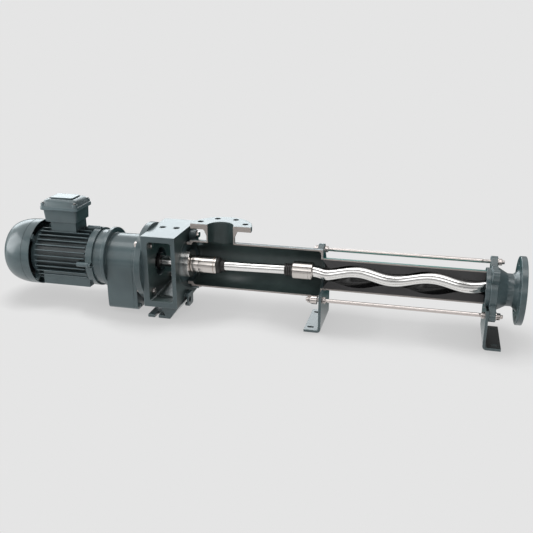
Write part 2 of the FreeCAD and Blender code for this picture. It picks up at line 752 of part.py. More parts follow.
def tie_rod_spacers():
    """Washers at the discharge, and a bush on the front rod where the cut took the casing's ear."""
    x0 = PLATE_2_X + EAR_PLATE_THICK
    x1 = CASING_X1 - EAR_BACKSET
    washers = [ring(WASHER_R, ROD_R, x0, x0 + WASHER_THICK, y, z) for y, z in TIE_RODS]
    bush = ring(SPACER_R, ROD_R, x1 - EAR_THICK, x1, -ROD_OFFSET, -ROD_OFFSET)
    return compound(washers + [bush])


def plate_foot(x_face, side, saddle_r):
    """Bent plate: upright leaf with a saddle, foot leaf with two slots, bent towards one side."""
    floor = -AXIS_HEIGHT
    x_back = x_face - PLATE_THICK
    upright_leaf = box(x_back, x_face, -PLATE_HALF_Y, PLATE_HALF_Y, floor, PLATE_TOP)
    bend_x = x_face if side < 0 else x_back
    toe = bend_x + side * PLATE_FOOT
    x0, x1 = sorted((bend_x, toe))
    leaf = box(x0, x1, -PLATE_HALF_Y, PLATE_HALF_Y, floor, floor + PLATE_THICK)
    body = fuse([upright_leaf, leaf])
    heel = [e for e in body.Edges if abs(e.CenterOfMass.x - bend_x) < EPS
            and abs(e.CenterOfMass.z - floor) < EPS]
    body = body.makeFillet(PLATE_BEND, heel)
    inner_x = bend_x + side * PLATE_THICK
    inner = [e for e in body.Edges if abs(e.CenterOfMass.x - inner_x) < EPS
             and abs(e.CenterOfMass.z - floor - PLATE_THICK) < EPS]
    body = body.makeFillet(PLATE_BEND - PLATE_THICK, inner)
    body = body.cut(cyl(saddle_r, x_back - 1, x_face + 1))
    for s in (-1, 1):
        body = body.cut(cyl(ROD_HOLE_R, x_back - 1, x_face + 1, s * ROD_OFFSET, -ROD_OFFSET))
        slot_x = toe - side * FOOT_SLOT_EDGE
        run = FOOT_SLOT_LENGTH / 2 - FOOT_SLOT_R
        cutter = box(slot_x - run, slot_x + run, s * FOOT_SLOT_Y - FOOT_SLOT_R, s * FOOT_SLOT_Y + FOOT_SLOT_R,
                     floor - 1, floor + PLATE_THICK + 1)
        for end in (-1, 1):
            cutter = cutter.fuse(upright(FOOT_SLOT_R, floor - 1, floor + PLATE_THICK + 1,
                                         slot_x + end * run, s * FOOT_SLOT_Y))
        body = body.cut(cutter)
    return body.removeSplitter()


def support_foot_suction():
    return plate_foot(PLATE_1_X, -1, STATOR_R)


def support_foot_discharge():
    return plate_foot(PLATE_2_X, 1, END_RING_R)


# Gear unit

def involute(base, radius):
    """Angle of an involute flank at a radius, from its start on the base circle."""
    if radius <= base:
        return 0.0
    pressure = math.acos(base / radius)
    return math.tan(pressure) - pressure


def gear(teeth, x0, x1, tooth_angle, z):
    """Spur gear with one tooth pointing along tooth_angle, degrees from +Y."""
    pitch_r = GEAR_MODULE * teeth / 2
    base = pitch_r * math.cos(math.radians(PRESSURE_ANGLE))
    tip = pitch_r + 0.9 * GEAR_MODULE
    root = pitch_r - 1.2 * GEAR_MODULE
    half_pitch = (math.pi * GEAR_MODULE / 2 - BACKLASH) / (2 * pitch_r)
    flank = []
    for radius in (root, pitch_r, tip):
        flank.append((radius, half_pitch + involute(base, pitch_r) - involute(base, radius)))
    points = []
    for i in range(teeth):
        middle = math.radians(tooth_angle) + 2 * math.pi * i / teeth
        side = [(r, middle - a) for r, a in flank] + [(r, middle + a) for r, a in reversed(flank)]
        points += [Vector(x0, r * math.cos(a), z + r * math.sin(a)) for r, a in side]
    face = Part.Face(Part.makePolygon(points + points[:1]))
    return face.extrude(Vector(x1 - x0, 0, 0))


def input_pinion():
    body = gear(PINION_1_TEETH, STAGE_1_X, STAGE_1_X + STAGE_1_WIDTH, -90.0, 0.0)
    return body.cut(cyl(SHAFT_R - 5.0, STAGE_1_X - 1, STAGE_1_X + STAGE_1_WIDTH + 1))


def layshaft_wheel():
    half_tooth = 180.0 / WHEEL_1_TEETH
    body = gear(WHEEL_1_TEETH, STAGE_1_X, STAGE_1_X + STAGE_1_WIDTH, 90.0 + half_tooth, -CENTRE_DISTANCE)
    return body.cut(cyl(LAYSHAFT_R, STAGE_1_X - 1, STAGE_1_X + STAGE_1_WIDTH + 1, 0, -CENTRE_DISTANCE))


def layshaft():
    """Shaft with its pinion cut from the solid and a journal at each end."""
    z = -CENTRE_DISTANCE
    journal = LAYSHAFT_R - 3.0
    return fuse([
        cyl(LAYSHAFT_R, STAGE_1_X, STAGE_2_X + STAGE_2_WIDTH + 2.0, 0, z),
        cyl(journal, HOUSING_X0 + 2.0, HOUSING_X1 + 8.0, 0, z),
        gear(PINION_2_TEETH, STAGE_2_X, STAGE_2_X + STAGE_2_WIDTH, 90.0, z),
    ])


def output_wheel():
    half_tooth = 180.0 / WHEEL_2_TEETH
    x0 = STAGE_2_X
    x1 = x0 + STAGE_2_WIDTH
    body = gear(WHEEL_2_TEETH, x0, x1, -90.0 + half_tooth, 0.0)
    return body.cut(cyl(OUTPUT_R + 4.0, x0 - 1, x1 + 1))


def output_shaft():
    """Stepped shaft: rear journal, seat of the wheel, front journal, long end for the plug-in shaft."""
    x0 = HOUSING_WEB_X
    seat0 = STAGE_2_X
    seat1 = STAGE_2_X + STAGE_2_WIDTH
    return fuse([
        cyl(OUTPUT_R - 5.0, x0, seat0),
        cyl(OUTPUT_R + 4.0, seat0, seat1),
        cyl(OUTPUT_R, seat1, LANTERN_X0 - 4.0),
        cyl(OUTPUT_END_R, LANTERN_X0 - 4.0, OUTPUT_END_X1),
    ])


def bearing_outer(x0, x1, seat_r, bore_r, z=0.0):
    middle = (seat_r + bore_r) / 2 + BEARING_SPLIT / 2
    return ring(seat_r, middle, x0, x1, 0, z)


def bearing_inner(x0, x1, seat_r, bore_r, z=0.0):
    middle = (seat_r + bore_r) / 2 - BEARING_SPLIT / 2
    return ring(middle, bore_r, x0, x1, 0, z)


MOTOR_FRONT = (MOTOR_X1 + 2.0, MOTOR_X1 + 18.0, 31.0, SHAFT_R, 0.0)
MOTOR_REAR = (MOTOR_X0 - 7.0, MOTOR_X0 + 8.0, 26.0, SHAFT_R - 2.5, 0.0)
OUTPUT_REAR = (HOUSING_WEB_X, HOUSING_WEB_X + HOUSING_WEB, 27.0, OUTPUT_R - 5.0, 0.0)
OUTPUT_FRONT = (HOUSING_X1 + 4.0, HOUSING_X1 + 22.0, 40.0, OUTPUT_R, 0.0)
LAY_REAR = (HOUSING_X0 + 1.0, HOUSING_X0 + 10.0, 19.0, LAYSHAFT_R - 3.0, -CENTRE_DISTANCE)
LAY_FRONT = (HOUSING_X1 - 1.0, HOUSING_X1 + 8.0, 19.0, LAYSHAFT_R - 3.0, -CENTRE_DISTANCE)


def bearing_outer_rings():
    bearings = (OUTPUT_REAR, OUTPUT_FRONT, LAY_REAR, LAY_FRONT, MOTOR_REAR, MOTOR_FRONT)
    return compound([bearing_outer(*b) for b in bearings])


def output_bearing_inner_rings():
    return compound([bearing_inner(*b) for b in (OUTPUT_REAR, OUTPUT_FRONT)])


def layshaft_bearing_inner_rings():
    return compound([bearing_inner(*b) for b in (LAY_REAR, LAY_FRONT)])


def tombstone(x0, x1, radius, bottom, corner):
    """Round top about the axis, flat sides, rounded lower corners."""
    r = corner
    edges = [
        Part.Arc(Vector(x0, radius, 0), Vector(x0, 0, radius), Vector(x0, -radius, 0)).toShape(),
        Part.makeLine(Vector(x0, -radius, 0), Vector(x0, -radius, bottom + r)),
        Part.Arc(Vector(x0, -radius, bottom + r), Vector(x0, -radius + r * (1 - math.sqrt(0.5)),
                 bottom + r * (1 - math.sqrt(0.5))), Vector(x0, -radius + r, bottom)).toShape(),
        Part.makeLine(Vector(x0, -radius + r, bottom), Vector(x0, radius - r, bottom)),
        Part.Arc(Vector(x0, radius - r, bottom), Vector(x0, radius - r * (1 - math.sqrt(0.5)),
                 bottom + r * (1 - math.sqrt(0.5))), Vector(x0, radius, bottom + r)).toShape(),
        Part.makeLine(Vector(x0, radius, bottom + r), Vector(x0, radius, 0)),
    ]
    return Part.Face(Part.Wire(edges)).extrude(Vector(x1 - x0, 0, 0))


def seat(bearing):
    """Pocket for a bearing, with a relief at each side that the inner ring doesn't touch."""
    x0, x1, seat_r, bore_r, z = bearing
    relief_r = (seat_r + bore_r) / 2 + SEAT_RELIEF
    return cyl(seat_r, x0, x1, 0, z).fuse(cyl(relief_r, x0 - SEAT_RELIEF, x1 + SEAT_RELIEF, 0, z))


def gearbox_housing():
    inner = HOUSING_R - HOUSING_WALL
    shell = tombstone(HOUSING_X0, HOUSING_X1, HOUSING_R, HOUSING_BOTTOM, HOUSING_CORNER)
    room_1 = tombstone(HOUSING_X0 + 12.0, HOUSING_WEB_X, inner, HOUSING_BOTTOM + HOUSING_WALL,
                       HOUSING_CORNER - HOUSING_WALL)
    room_2 = tombstone(HOUSING_WEB_X + HOUSING_WEB, HOUSING_X1 + 1, inner, HOUSING_BOTTOM + HOUSING_WALL,
                       HOUSING_CORNER - HOUSING_WALL)
    body = fuse([shell, cyl(BACK_RING_R, BACK_RING_X, HOUSING_X0)])
    body = body.cut(room_1).cut(room_2)
    body = body.cut(cyl(INPUT_BORE_R, BACK_RING_X - 1, HOUSING_X0 + 13.0))
    body = body.cut(seat(OUTPUT_REAR)).cut(seat(LAY_REAR))
    wheel_gap = LAYSHAFT_R + 14.0
    body = body.cut(cyl(wheel_gap, HOUSING_WEB_X - 1, HOUSING_WEB_X + HOUSING_WEB + 1, 0, -CENTRE_DISTANCE))
    body = body.cut(cyl(LAY_REAR[3] + 3.0, HOUSING_X0 + 5.0, HOUSING_X0 + 13.0, 0, -CENTRE_DISTANCE))
    return body.removeSplitter()


def gearbox_cover():
    """Front cover: plate on the housing, neck, and the round flange bolted to the lantern."""
    flange_x0 = LANTERN_X0 - GEAR_FLANGE_THICK - 10.0
    plate = tombstone(HOUSING_X1, HOUSING_X1 + COVER_PLATE, HOUSING_R, HOUSING_BOTTOM, HOUSING_CORNER)
    neck = cyl(GEAR_NECK_R, HOUSING_X1, LANTERN_X0)
    flange = cyl(GEAR_FLANGE_R, flange_x0, LANTERN_X0)
    body = fuse([plate, neck, flange])
    body = body.cut(seat(OUTPUT_FRONT)).cut(seat(LAY_FRONT))
    body = body.cut(cyl(OUTPUT_R + 10.0, HOUSING_X1 - 1, LANTERN_X0 + 1))
    for y, z in corners(GEAR_FLANGE_BOLT):
        body = body.cut(cyl(ROD_HOLE_R, flange_x0 - 1, LANTERN_X0 + 1, y, z))
    return body.removeSplitter()


def gearbox_shaft_seals():
    """Lip seals at the input and output sides of the gear unit."""
    x1 = LANTERN_X0 - 5.0
    output = ring(OUTPUT_R + 10.0, OUTPUT_R + RUNNING_GAP, x1 - 10.0, x1)
    bore_x0 = BACK_RING_X + 2.0
    entry = ring(INPUT_BORE_R, SHAFT_R + RUNNING_GAP, bore_x0, bore_x0 + 10.0)
    return compound([output, entry])


def cover_screw_places():
    low = HOUSING_BOTTOM + 14.0
    side = HOUSING_R - 14.0
    return [(-side, low), (-side / 3, low), (side / 3, low), (side, low)]


def socket_head(x0, y, z):
    return ring(6.5, 3.0, x0, x0 + 7.0, y, z)


def socket_screws():
    """Heads of the screws in the gear unit's cover and in the motor shield's four lugs."""
    heads = [socket_head(HOUSING_X1 + COVER_PLATE, y, z) for y, z in cover_screw_places()]
    for angle in (0, 90, 180, 270):
        heads.append(turn_about_x(socket_head(MOTOR_X1 + SHIELD_LUG, LUG_BOSS_AT, 0), angle))
    return compound(heads)


def oil_plugs():
    """Filler and drain plugs in the far side of the gear unit's housing."""
    pieces = []
    for z in (20.0, HOUSING_BOTTOM + 24.0):
        radius = 10.0
        plug = Part.makeCylinder(radius, 8.0, Vector(HOUSING_X0 + 64.0, HOUSING_R, z), Y_AXIS)
        pieces.append(plug)
    return compound(pieces)


def gearbox_adapter():
    """Ring between the motor and the gear unit, with a web that closes the gear unit."""
    body = ring(ADAPTER_R, ADAPTER_R - ADAPTER_WALL, ADAPTER_X0, BACK_RING_X)
    return body


# Motor

def motor_frame():
    barrel = ring(MOTOR_R, MOTOR_BORE_R, MOTOR_X0, MOTOR_X1)
    pieces = [barrel]
    for side in (0, 180):
        for i in range(-5, 8):
            fin = box(MOTOR_X0 + 8.0, MOTOR_X1 - 6.0, MOTOR_R - 2.0, FIN_R, -FIN_THICK / 2, FIN_THICK / 2)
            angle = i * FIN_STEP
            pieces.append(turn_about_x(fin, angle if side == 0 else 180 - angle))
    for y0, y1 in (PAD_Y, (-PAD_Y[1], -PAD_Y[0])):
        pieces.append(box(PAD_X0, MOTOR_X1, y0, y1, PAD_BOTTOM, -30.0))
    pieces.append(box(PEDESTAL_X0, PEDESTAL_X1, -PEDESTAL_HALF_Y, PEDESTAL_HALF_Y, MOTOR_R - 20.0, BOX_Z0))
    for angle in (0, 90, 180, 270):
        boss = cyl(LUG_BOSS_R, MOTOR_X1 - 28.0, MOTOR_X1, LUG_BOSS_AT, 0)
        link = box(MOTOR_X1 - 28.0, MOTOR_X1, MOTOR_R - 4.0, LUG_BOSS_AT, -LUG_BOSS_R, LUG_BOSS_R)
        pieces += [turn_about_x(boss, angle), turn_about_x(link, angle)]
    body = fuse(pieces)
    body = body.cut(cyl(MOTOR_BORE_R, MOTOR_X0 - 1, MOTOR_X1 + 1))
    body = body.cut(upright(18.0, MOTOR_BORE_R - 5.0, BOX_Z0 + 1, (PEDESTAL_X0 + PEDESTAL_X1) / 2, 0))
    return body.removeSplitter()


def shield(x0, x1, wall_x0, wall_x1, bearing, rim_r):
    """End shield: rim, flat wall and bearing hub."""
    hub_r = bearing[2] + 7.0
    body = fuse([ring(rim_r, MOTOR_BORE_R, x0, x1), cyl(rim_r - 1.0, wall_x0, wall_x1),
                 cyl(hub_r, min(wall_x0, bearing[0]), max(wall_x1, bearing[1]))])
    body = body.cut(seat(bearing))
    return body.cut(cyl(bearing[3] + 4.0, x0 - 60, x1 + 60))


def motor_front_shield():
    body = shield(MOTOR_X1, ADAPTER_X0, ADAPTER_X0 - SHIELD_WALL, ADAPTER_X0, MOTOR_FRONT, SHIELD_R)
    for angle in (0, 90, 180, 270):
        boss = cyl(LUG_BOSS_R, MOTOR_X1, MOTOR_X1 + SHIELD_LUG, LUG_BOSS_AT, 0)
        pocket = cyl(LUG_BOSS_R, MOTOR_X1 + SHIELD_LUG, ADAPTER_X0 + 1, LUG_BOSS_AT, 0)
        body = body.fuse(turn_about_x(boss, angle)).cut(turn_about_x(pocket, angle))
    return body.removeSplitter()


def motor_rear_shield():
    """Rear shield with four lugs that carry the fan cowl."""
    x0 = MOTOR_X0 - REAR_SHIELD_WALL
    body = shield(x0, MOTOR_X0, x0, MOTOR_X0, MOTOR_REAR, MOTOR_R)
    inside = cyl(COWL_R - COWL_WALL, x0 - 1, MOTOR_X0 + 1)
    for angle in (45, 135, 225, 315):
        lug = turn_about_x(box(x0, MOTOR_X0, MOTOR_R - 6.0, COWL_R + 2, -8.0, 8.0), angle)
        body = body.fuse(lug.common(inside))
    return body.removeSplitter()


def motor_bearing_inner_rings():
    return compound([bearing_inner(*b) for b in (MOTOR_REAR, MOTOR_FRONT)])


def motor_shaft():
    """Stepped shaft from the fan to the overhung pinion's seat."""
    return fuse([
        cyl(SHAFT_R - 5.0, COWL_SEAM_X - 16.0, MOTOR_REAR[0]),
        cyl(SHAFT_R - 2.5, MOTOR_REAR[0], MOTOR_REAR[1] + 4.0),
        cyl(SHAFT_R + 3.0, MOTOR_REAR[1] + 4.0, MOTOR_FRONT[0]),
        cyl(SHAFT_R, MOTOR_FRONT[0], STAGE_1_X - 6.0),
        cyl(SHAFT_R - 5.0, STAGE_1_X - 6.0, STAGE_1_X + STAGE_1_WIDTH),
    ])


def motor_rotor_core():
    return ring(ROTOR_CORE_R, SHAFT_R + 3.0, CORE_X0, CORE_X1)


def motor_stator_core():
    return ring(MOTOR_BORE_R, ROTOR_CORE_R + AIR_GAP, CORE_X0, CORE_X1)


def motor_windings():
    pieces = []
    for x0, x1 in ((CORE_X0 - 18.0, CORE_X0), (CORE_X1, CORE_X1 + 18.0)):
        pieces.append(ring(MOTOR_BORE_R - 5.0, ROTOR_CORE_R + 6.0, x0, x1))
    return compound(pieces)


def motor_fan():
    """Plastic fan: hub, back plate and straight blades."""
    hub_x0 = COWL_SEAM_X - 14.0
    hub_x1 = hub_x0 + 20.0
    pieces = [cyl(FAN_HUB_R, hub_x0, hub_x1), cyl(FAN_R, hub_x1 - 3.0, hub_x1)]
    for i in range(FAN_BLADES):
        blade = box(hub_x0, hub_x1, FAN_HUB_R - 5.0, FAN_R, -1.5, 1.5)
        pieces.append(turn_about_x(blade, 360.0 * i / FAN_BLADES))
    return fuse(pieces).cut(cyl(SHAFT_R - 5.0, hub_x0 - 1, hub_x1 + 1))


def dome_wire(offset):
    """Half section of the cowl: straight rim, then a quarter ellipse to the flat end."""
    radius = COWL_R - offset
    end_r = COWL_END_R - offset
    end_x = COWL_X0 + offset
    steps = 8
    points = [(COWL_X1, 0.0), (COWL_X1, radius), (COWL_SEAM_X, radius)]
    for i in range(1, steps + 1):
        a = math.pi / 2 * i / steps
        x = COWL_SEAM_X - (COWL_SEAM_X - end_x) * math.sin(a)
        points.append((x, end_r + (radius - end_r) * math.cos(a)))
    points.append((end_x, 0.0))
    return points


def motor_fan_cowl():
    body = turned(dome_wire(0.0)).cut(turned(dome_wire(COWL_WALL)))
    for i in range(GRILLE_SLOTS):
        slot = box(COWL_X0 - 1, COWL_X0 + COWL_WALL + 1, 24.0, COWL_END_R - 8.0, -2.5, 2.5)
        body = body.cut(turn_about_x(slot, 360.0 * i / GRILLE_SLOTS))
    return body


# Terminal box

def terminal_box():
    outer = rounded(box(BOX_X0, BOX_X1, -BOX_HALF_Y, BOX_HALF_Y, BOX_Z0, BOX_Z1), BOX_CORNER, Z_AXIS)
    inner = rounded(box(BOX_X0 + BOX_WALL, BOX_X1 - BOX_WALL, -BOX_HALF_Y + BOX_WALL, BOX_HALF_Y - BOX_WALL,
                        BOX_Z0 + BOX_WALL, BOX_Z1 + 1), BOX_CORNER - BOX_WALL, Z_AXIS)
    body = outer.cut(inner)
    body = body.cut(upright(18.0, BOX_Z0 - 1, BOX_Z0 + BOX_WALL + 1, (PEDESTAL_X0 + PEDESTAL_X1) / 2, 0))
    return body.cut(entry_holes())


def entry_places():
    middle = (BOX_X0 + BOX_X1) / 2
    return [middle - 26.0, middle + 26.0]


def entry_holes():
    z = (BOX_Z0 + BOX_Z1) / 2
    return compound([Part.makeCylinder(ENTRY_R, 3 * BOX_WALL, Vector(x, BOX_HALF_Y - 2 * BOX_WALL, z), Y_AXIS)
                     for x in entry_places()])


def cable_entry_plugs():
    z = (BOX_Z0 + BOX_Z1) / 2
    pieces = []
    for x in entry_places():
        stem = Part.makeCylinder(ENTRY_R, BOX_WALL, Vector(x, BOX_HALF_Y - BOX_WALL, z), Y_AXIS)
        head = Part.makeCylinder(ENTRY_R + 4.0, 5.0, Vector(x, BOX_HALF_Y, z), Y_AXIS)
        pieces.append(stem.fuse(head).removeSplitter())
    return compound(pieces)


def lid_screw_places():
    x0, x1 = BOX_X0 - LID_LIP + LID_BOSS_INSET, BOX_X1 + LID_LIP - LID_BOSS_INSET
    y1 = BOX_HALF_Y + LID_LIP - LID_BOSS_INSET
    return [(x, y) for x in (x0, x1) for y in (-y1, y1)]


def lid_outline(inset_x, inset_y, z):
    x0, x1 = BOX_X0 - LID_LIP + inset_x, BOX_X1 + LID_LIP - inset_x
    y1 = BOX_HALF_Y + LID_LIP - inset_y
    corners_at = [Vector(x0, -y1, z), Vector(x1, -y1, z), Vector(x1, y1, z), Vector(x0, y1, z)]
    return Part.makePolygon(corners_at + corners_at[:1])


def terminal_box_lid():
    """Overhanging lid: upright rim, sloping sides, raised panel, and a screw boss in each corner."""
    rim = Part.Face(lid_outline(0, 0, BOX_Z1)).extrude(Vector(0, 0, LID_RIM))
    rim = rounded(rim, BOX_CORNER, Z_AXIS)
    top = BOX_Z1 + LID_HEIGHT
    slope_base = lid_outline(2.0, 2.0, BOX_Z1 + LID_RIM - 1.0)
    slope = Part.makeLoft([slope_base, lid_outline(LID_SLOPE_X, LID_SLOPE_Y, top)], True, True)
    panel_base = lid_outline(LID_SLOPE_X + 4.0, LID_SLOPE_Y + 4.0, top - 1.0)
    panel = Part.Face(panel_base).extrude(Vector(0, 0, 1.0 + LID_PANEL))
    bosses = [upright(LID_BOSS_R, BOX_Z1, BOX_Z1 + LID_BOSS_HEIGHT, x, y) for x, y in lid_screw_places()]
    return fuse([rim, slope, panel] + bosses)


def terminal_box_screws():
    top = BOX_Z1 + LID_BOSS_HEIGHT
    return compound([upright(5.0, top, top + 4.0, x, y) for x, y in lid_screw_places()])


def terminal_block():
    middle = (BOX_X0 + BOX_X1) / 2
    floor = BOX_Z0 + BOX_WALL
    pieces = [box(middle - 34.0, middle + 34.0, -40.0, -20.0, floor, floor + 14.0)]
    for i in range(3):
        pieces.append(upright(2.5, floor + 13.0, floor + 24.0, middle - 22.0 + 22.0 * i, -30.0))
    return fuse(pieces)


def drive_joint_sleeve():
    return joint_sleeve(DRIVE_PIN_X)


def rotor_joint_sleeve():
    y, z = rotor_axis_offset()
    return joint_sleeve(ROTOR_PIN_X, y, z)


def drive_joint_pin():
    return joint_pin(DRIVE_PIN_X)


def rotor_joint_pin():
    y, z = rotor_axis_offset()
    return joint_pin(ROTOR_PIN_X, y, z)


PIECES = (
    motor_fan_cowl, motor_fan, motor_frame, motor_rear_shield, motor_front_shield, motor_bearing_inner_rings,
    motor_shaft, motor_rotor_core, motor_stator_core, motor_windings, terminal_box, terminal_box_lid,
    terminal_box_screws, terminal_block, cable_entry_plugs, gearbox_adapter, gearbox_housing,
    gearbox_cover, socket_screws, oil_plugs, bearing_outer_rings, input_pinion, layshaft,
    layshaft_wheel, layshaft_bearing_inner_rings, output_wheel, output_shaft,
    output_bearing_inner_rings, gearbox_shaft_seals, gear_flange_bolts, gear_flange_nuts, lantern,
    casing_bolts, splash_ring, plug_in_shaft, seal_housing, seal_cover, stationary_seal_ring,
    rotating_seal_ring, suction_casing, casing_plug, drive_joint_head, drive_joint_pin,
    drive_joint_sleeve, drive_boot, coupling_rod, rotor_boot, rotor_joint_head, rotor_joint_pin,
    rotor_joint_sleeve, rotor, stator_tube, stator_rubber, stator_end_ring, tie_rods, tie_rod_nuts,
    tie_rod_spacers, support_foot_suction, support_foot_discharge, discharge_branch,
)


def main():
    os.makedirs("parts", exist_ok=True)
    shift = Vector(-CENTRE_X, 0, AXIS_HEIGHT)
    for piece in PIECES:
        shape = piece()
        shape.translate(shift)
        shape.exportStep(os.path.join("parts", piece.__name__ + ".step"))


main()
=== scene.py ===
import json
import math

import bmesh
import bpy
from bpy.props import FloatProperty, FloatVectorProperty, IntProperty, PointerProperty
from mathutils import Matrix, Vector


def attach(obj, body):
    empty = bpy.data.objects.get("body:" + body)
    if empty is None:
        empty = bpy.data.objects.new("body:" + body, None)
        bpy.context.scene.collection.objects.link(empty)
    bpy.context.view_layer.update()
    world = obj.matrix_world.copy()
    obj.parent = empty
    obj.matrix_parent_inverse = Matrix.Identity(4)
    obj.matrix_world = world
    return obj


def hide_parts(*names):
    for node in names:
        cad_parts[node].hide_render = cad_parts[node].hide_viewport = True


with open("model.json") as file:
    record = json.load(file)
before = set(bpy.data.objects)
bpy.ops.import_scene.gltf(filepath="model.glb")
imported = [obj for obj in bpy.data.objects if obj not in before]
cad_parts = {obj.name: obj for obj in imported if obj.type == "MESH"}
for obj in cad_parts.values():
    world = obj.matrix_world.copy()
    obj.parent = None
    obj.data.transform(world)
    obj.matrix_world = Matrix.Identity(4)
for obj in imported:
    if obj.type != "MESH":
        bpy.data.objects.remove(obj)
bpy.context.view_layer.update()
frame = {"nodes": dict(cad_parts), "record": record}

# Looks of a progressive cavity pump with its gear motor, cut open along the pump axis.
# Pieces are drawn in millimetres in the pump's own frame: X runs along the pump axis from the motor
# to the discharge flange with X = 0 at the suction branch, Y points away from the cut side, Z is up
# with Z = 0 on the pump axis. TO_CAD then puts them in the frame of the CAD model, in metres.

bl_info = {
    "name": "Progressive cavity pump",
    "version": (1, 0, 0),
    "blender": (4, 5, 0),
    "location": "View3D > Sidebar > Pump",
    "description": "Dresses a half cut progressive cavity pump and its gear motor",
    "category": "Object",
}

MM = 0.001
# Points closer than this are one point: in drawn pieces, in millimetres, and in solids, in metres
DRAWN_WELD = 1e-4
SOLID_WELD = 2e-6
# Facets round a turned part
FACETS = 96
AXIS_HEIGHT = 162.0
CENTRE_X = 94.0
TO_CAD = Matrix.Scale(MM, 4) @ Matrix.Translation((-CENTRE_X, 0, AXIS_HEIGHT))

# Corners that are too narrow to round
NARROW_CORNER = math.radians(40.0)
SHORT_EDGE = 2.0 * MM

# Rotor and stator
ROTOR_R = 18.5
ECCENTRICITY = 8.5
ROTOR_PITCH = 221.0
CREST_X = 431.0
CREST_ANGLE = 70.0
ORBIT_ANGLE = 110.0
ROTOR_CLEARANCE = 0.4
ROTOR_X0 = 299.5
ROTOR_X1 = 812.0
ROTOR_RAMP = 52.0
ROTOR_CHAMFER = 2.0
ROTOR_STEPS = 320
STATOR_X0 = 327.5
STATOR_X1 = 806.0
STATOR_R = 51.5
STATOR_WALL = 4.5
STATOR_STEPS = 160
LEAD_IN_R = 44.0
LEAD_IN_DEPTH = 20.0

# Joints and coupling rod
JOINT_R = 28.0
JOINT_HUB_R = 24.0
JOINT_BORE_R = 18.8
SLEEVE_HALF = 24.5
DRIVE_PIN_X = -44.0
ROTOR_PIN_X = 262.0
DRIVE_HEAD = (-96.0, -10.0)
ROTOR_HEAD = (235.0, 299.5)
SEAL_RING_X = DRIVE_HEAD[1] - 9.6
COUPLING_R = 16.0
RUNNING_GAP = 0.3
BOOT_LENGTH = 25.0
BOOT_WALL = 3.2
# Folds of the drive side boot: distance from its open end, height over its wall, corner radius
DRIVE_BOOT_FOLDS = (
    (1.0, 7.0, 1.5), (7.0, 6.4, 3.0), (11.5, 1.2, 2.0), (13.0, -1.6, 0.8), (15.5, -1.6, 0.8),
    (16.3, -0.2, 0.8), (18.5, -0.2, 0.8), (19.3, -1.6, 0.8), (21.0, -1.6, 0.8), (21.8, -0.2, 0.8),
    (24.6, -0.2, 0.8))
# One rib of the rotor side boot, told in the same way
ROTOR_BOOT_RIB = ((0.0, 0.3, 0.8), (0.8, -1.6, 0.6), (1.8, -1.6, 0.6), (2.6, 0.3, 0.8))

# Tie rods and their nuts, M12
ROD_R = 6.0
SHANK_R = 5.98
TIP_CHAMFER = 1.2
ROD_OFFSET = 61.497
ROD_X0 = 288.0
ROD_X1 = 859.0
THREAD_PITCH = 1.75
THREAD_DEPTH = 0.55
THREAD_LENGTH = 62.0
NUT_AF = 18.0
NUT_THICK = 10.5
WASHER_R = 12.0
WASHER_THICK = 2.5
SPACER_R = 13.5
TIE_RODS = ((ROD_OFFSET, ROD_OFFSET), (ROD_OFFSET, -ROD_OFFSET), (-ROD_OFFSET, -ROD_OFFSET))
EAR_X = (303.5, 322.5)
PLATE_1_X = 337.5
PLATE_2_X = 819.0
PLATE_THICK = 8.0
EAR_PLATE_THICK = 20.0

# Suction casing, lantern and their bolts
CASING_R = 77.7
CASING_WALL = 5.5
CASING_END_WALL = 6.5
CASING_X = (-103.0, 327.5)
PORT_R = 42.5
LANTERN_X = (-225.0, -114.0)
LANTERN_REAR_WALL = 20.0
LANTERN_FRONT_WALL = 14.0
LANTERN_HALF_Y = 104.0
WINDOW_Z = (-99.0, 95.5)
GEAR_FLANGE_BACK = 20.0
SPIGOT_R = 77.0
SPIGOT_PROUD = 0.8
GEAR_FLANGE_BOLT = 76.0
CASING_BOLT_Y = 40.0
CASING_BOLT_Z = 86.0
LUG_LENGTH = 23.0
BOLT_HEAD = 8.0

# Terminal box and its lid
BOX_X = (-588.0, -468.0)
BOX_HALF_Y = 47.0
BOX_Z = (118.0, 160.0)
LID_LIP = 6.5
LID_BOSS_INSET = 11.0
LID_BOSS_R = 8.5
LID_BOSS_TOP = 182.0
# Sections from the bottom up: distance in from the edge, height, corner radius
BOX_DRAFT = ((7.5, 0.0, 4.0), (5.0, 1.0, 5.5), (4.0, 3.5, 7.0), (0.5, 38.0, 10.0), (0.0, 42.0, 10.0))
LID_PROFILE = (
    (1.2, 0.0, 9.0), (0.0, 1.2, 10.0), (0.0, 9.5, 10.0), (0.8, 11.5, 10.0), (3.2, 13.0, 10.5),
    (8.5, 26.0, 13.0), (10.5, 29.0, 13.0), (14.0, 31.0, 12.0), (21.0, 33.0, 9.0), (23.0, 33.2, 8.0),
    (24.0, 32.2, 7.5), (25.5, 32.2, 7.0), (26.2, 36.8, 6.5), (27.0, 37.4, 6.0), (28.0, 37.5, 5.5),
    (30.0, 37.5, 5.0))

# Motor cowl
COWL_R = 108.5
COWL_X0 = -725.0
COWL_X1 = -620.0
COWL_SEAM_X = -648.0
COWL_END_R = 76.0
COWL_WALL = 2.5
GRILLE_SLOTS = 18
GRILLE_R = (24.0, 68.0)
GRILLE_HALF_WIDTH = 2.5
SEAM_DEPTH = 0.9

# Camera: metres, millimetres and degrees
CAMERA_PLACE = (0.5571, -2.0008, 0.9149)
CAMERA_LENS = 47.31
CAMERA_PITCH = 19.807
CAMERA_YAW = 14.083
CAMERA_ROLL = -0.134


def linear(text):
    """sRGB hex colour as linear RGBA."""
    parts = [int(text[i:i + 2], 16) / 255 for i in (1, 3, 5)]
    return tuple(c / 12.92 if c <= 0.04045 else ((c + 0.055) / 1.055) ** 2.4 for c in parts) + (1.0,)


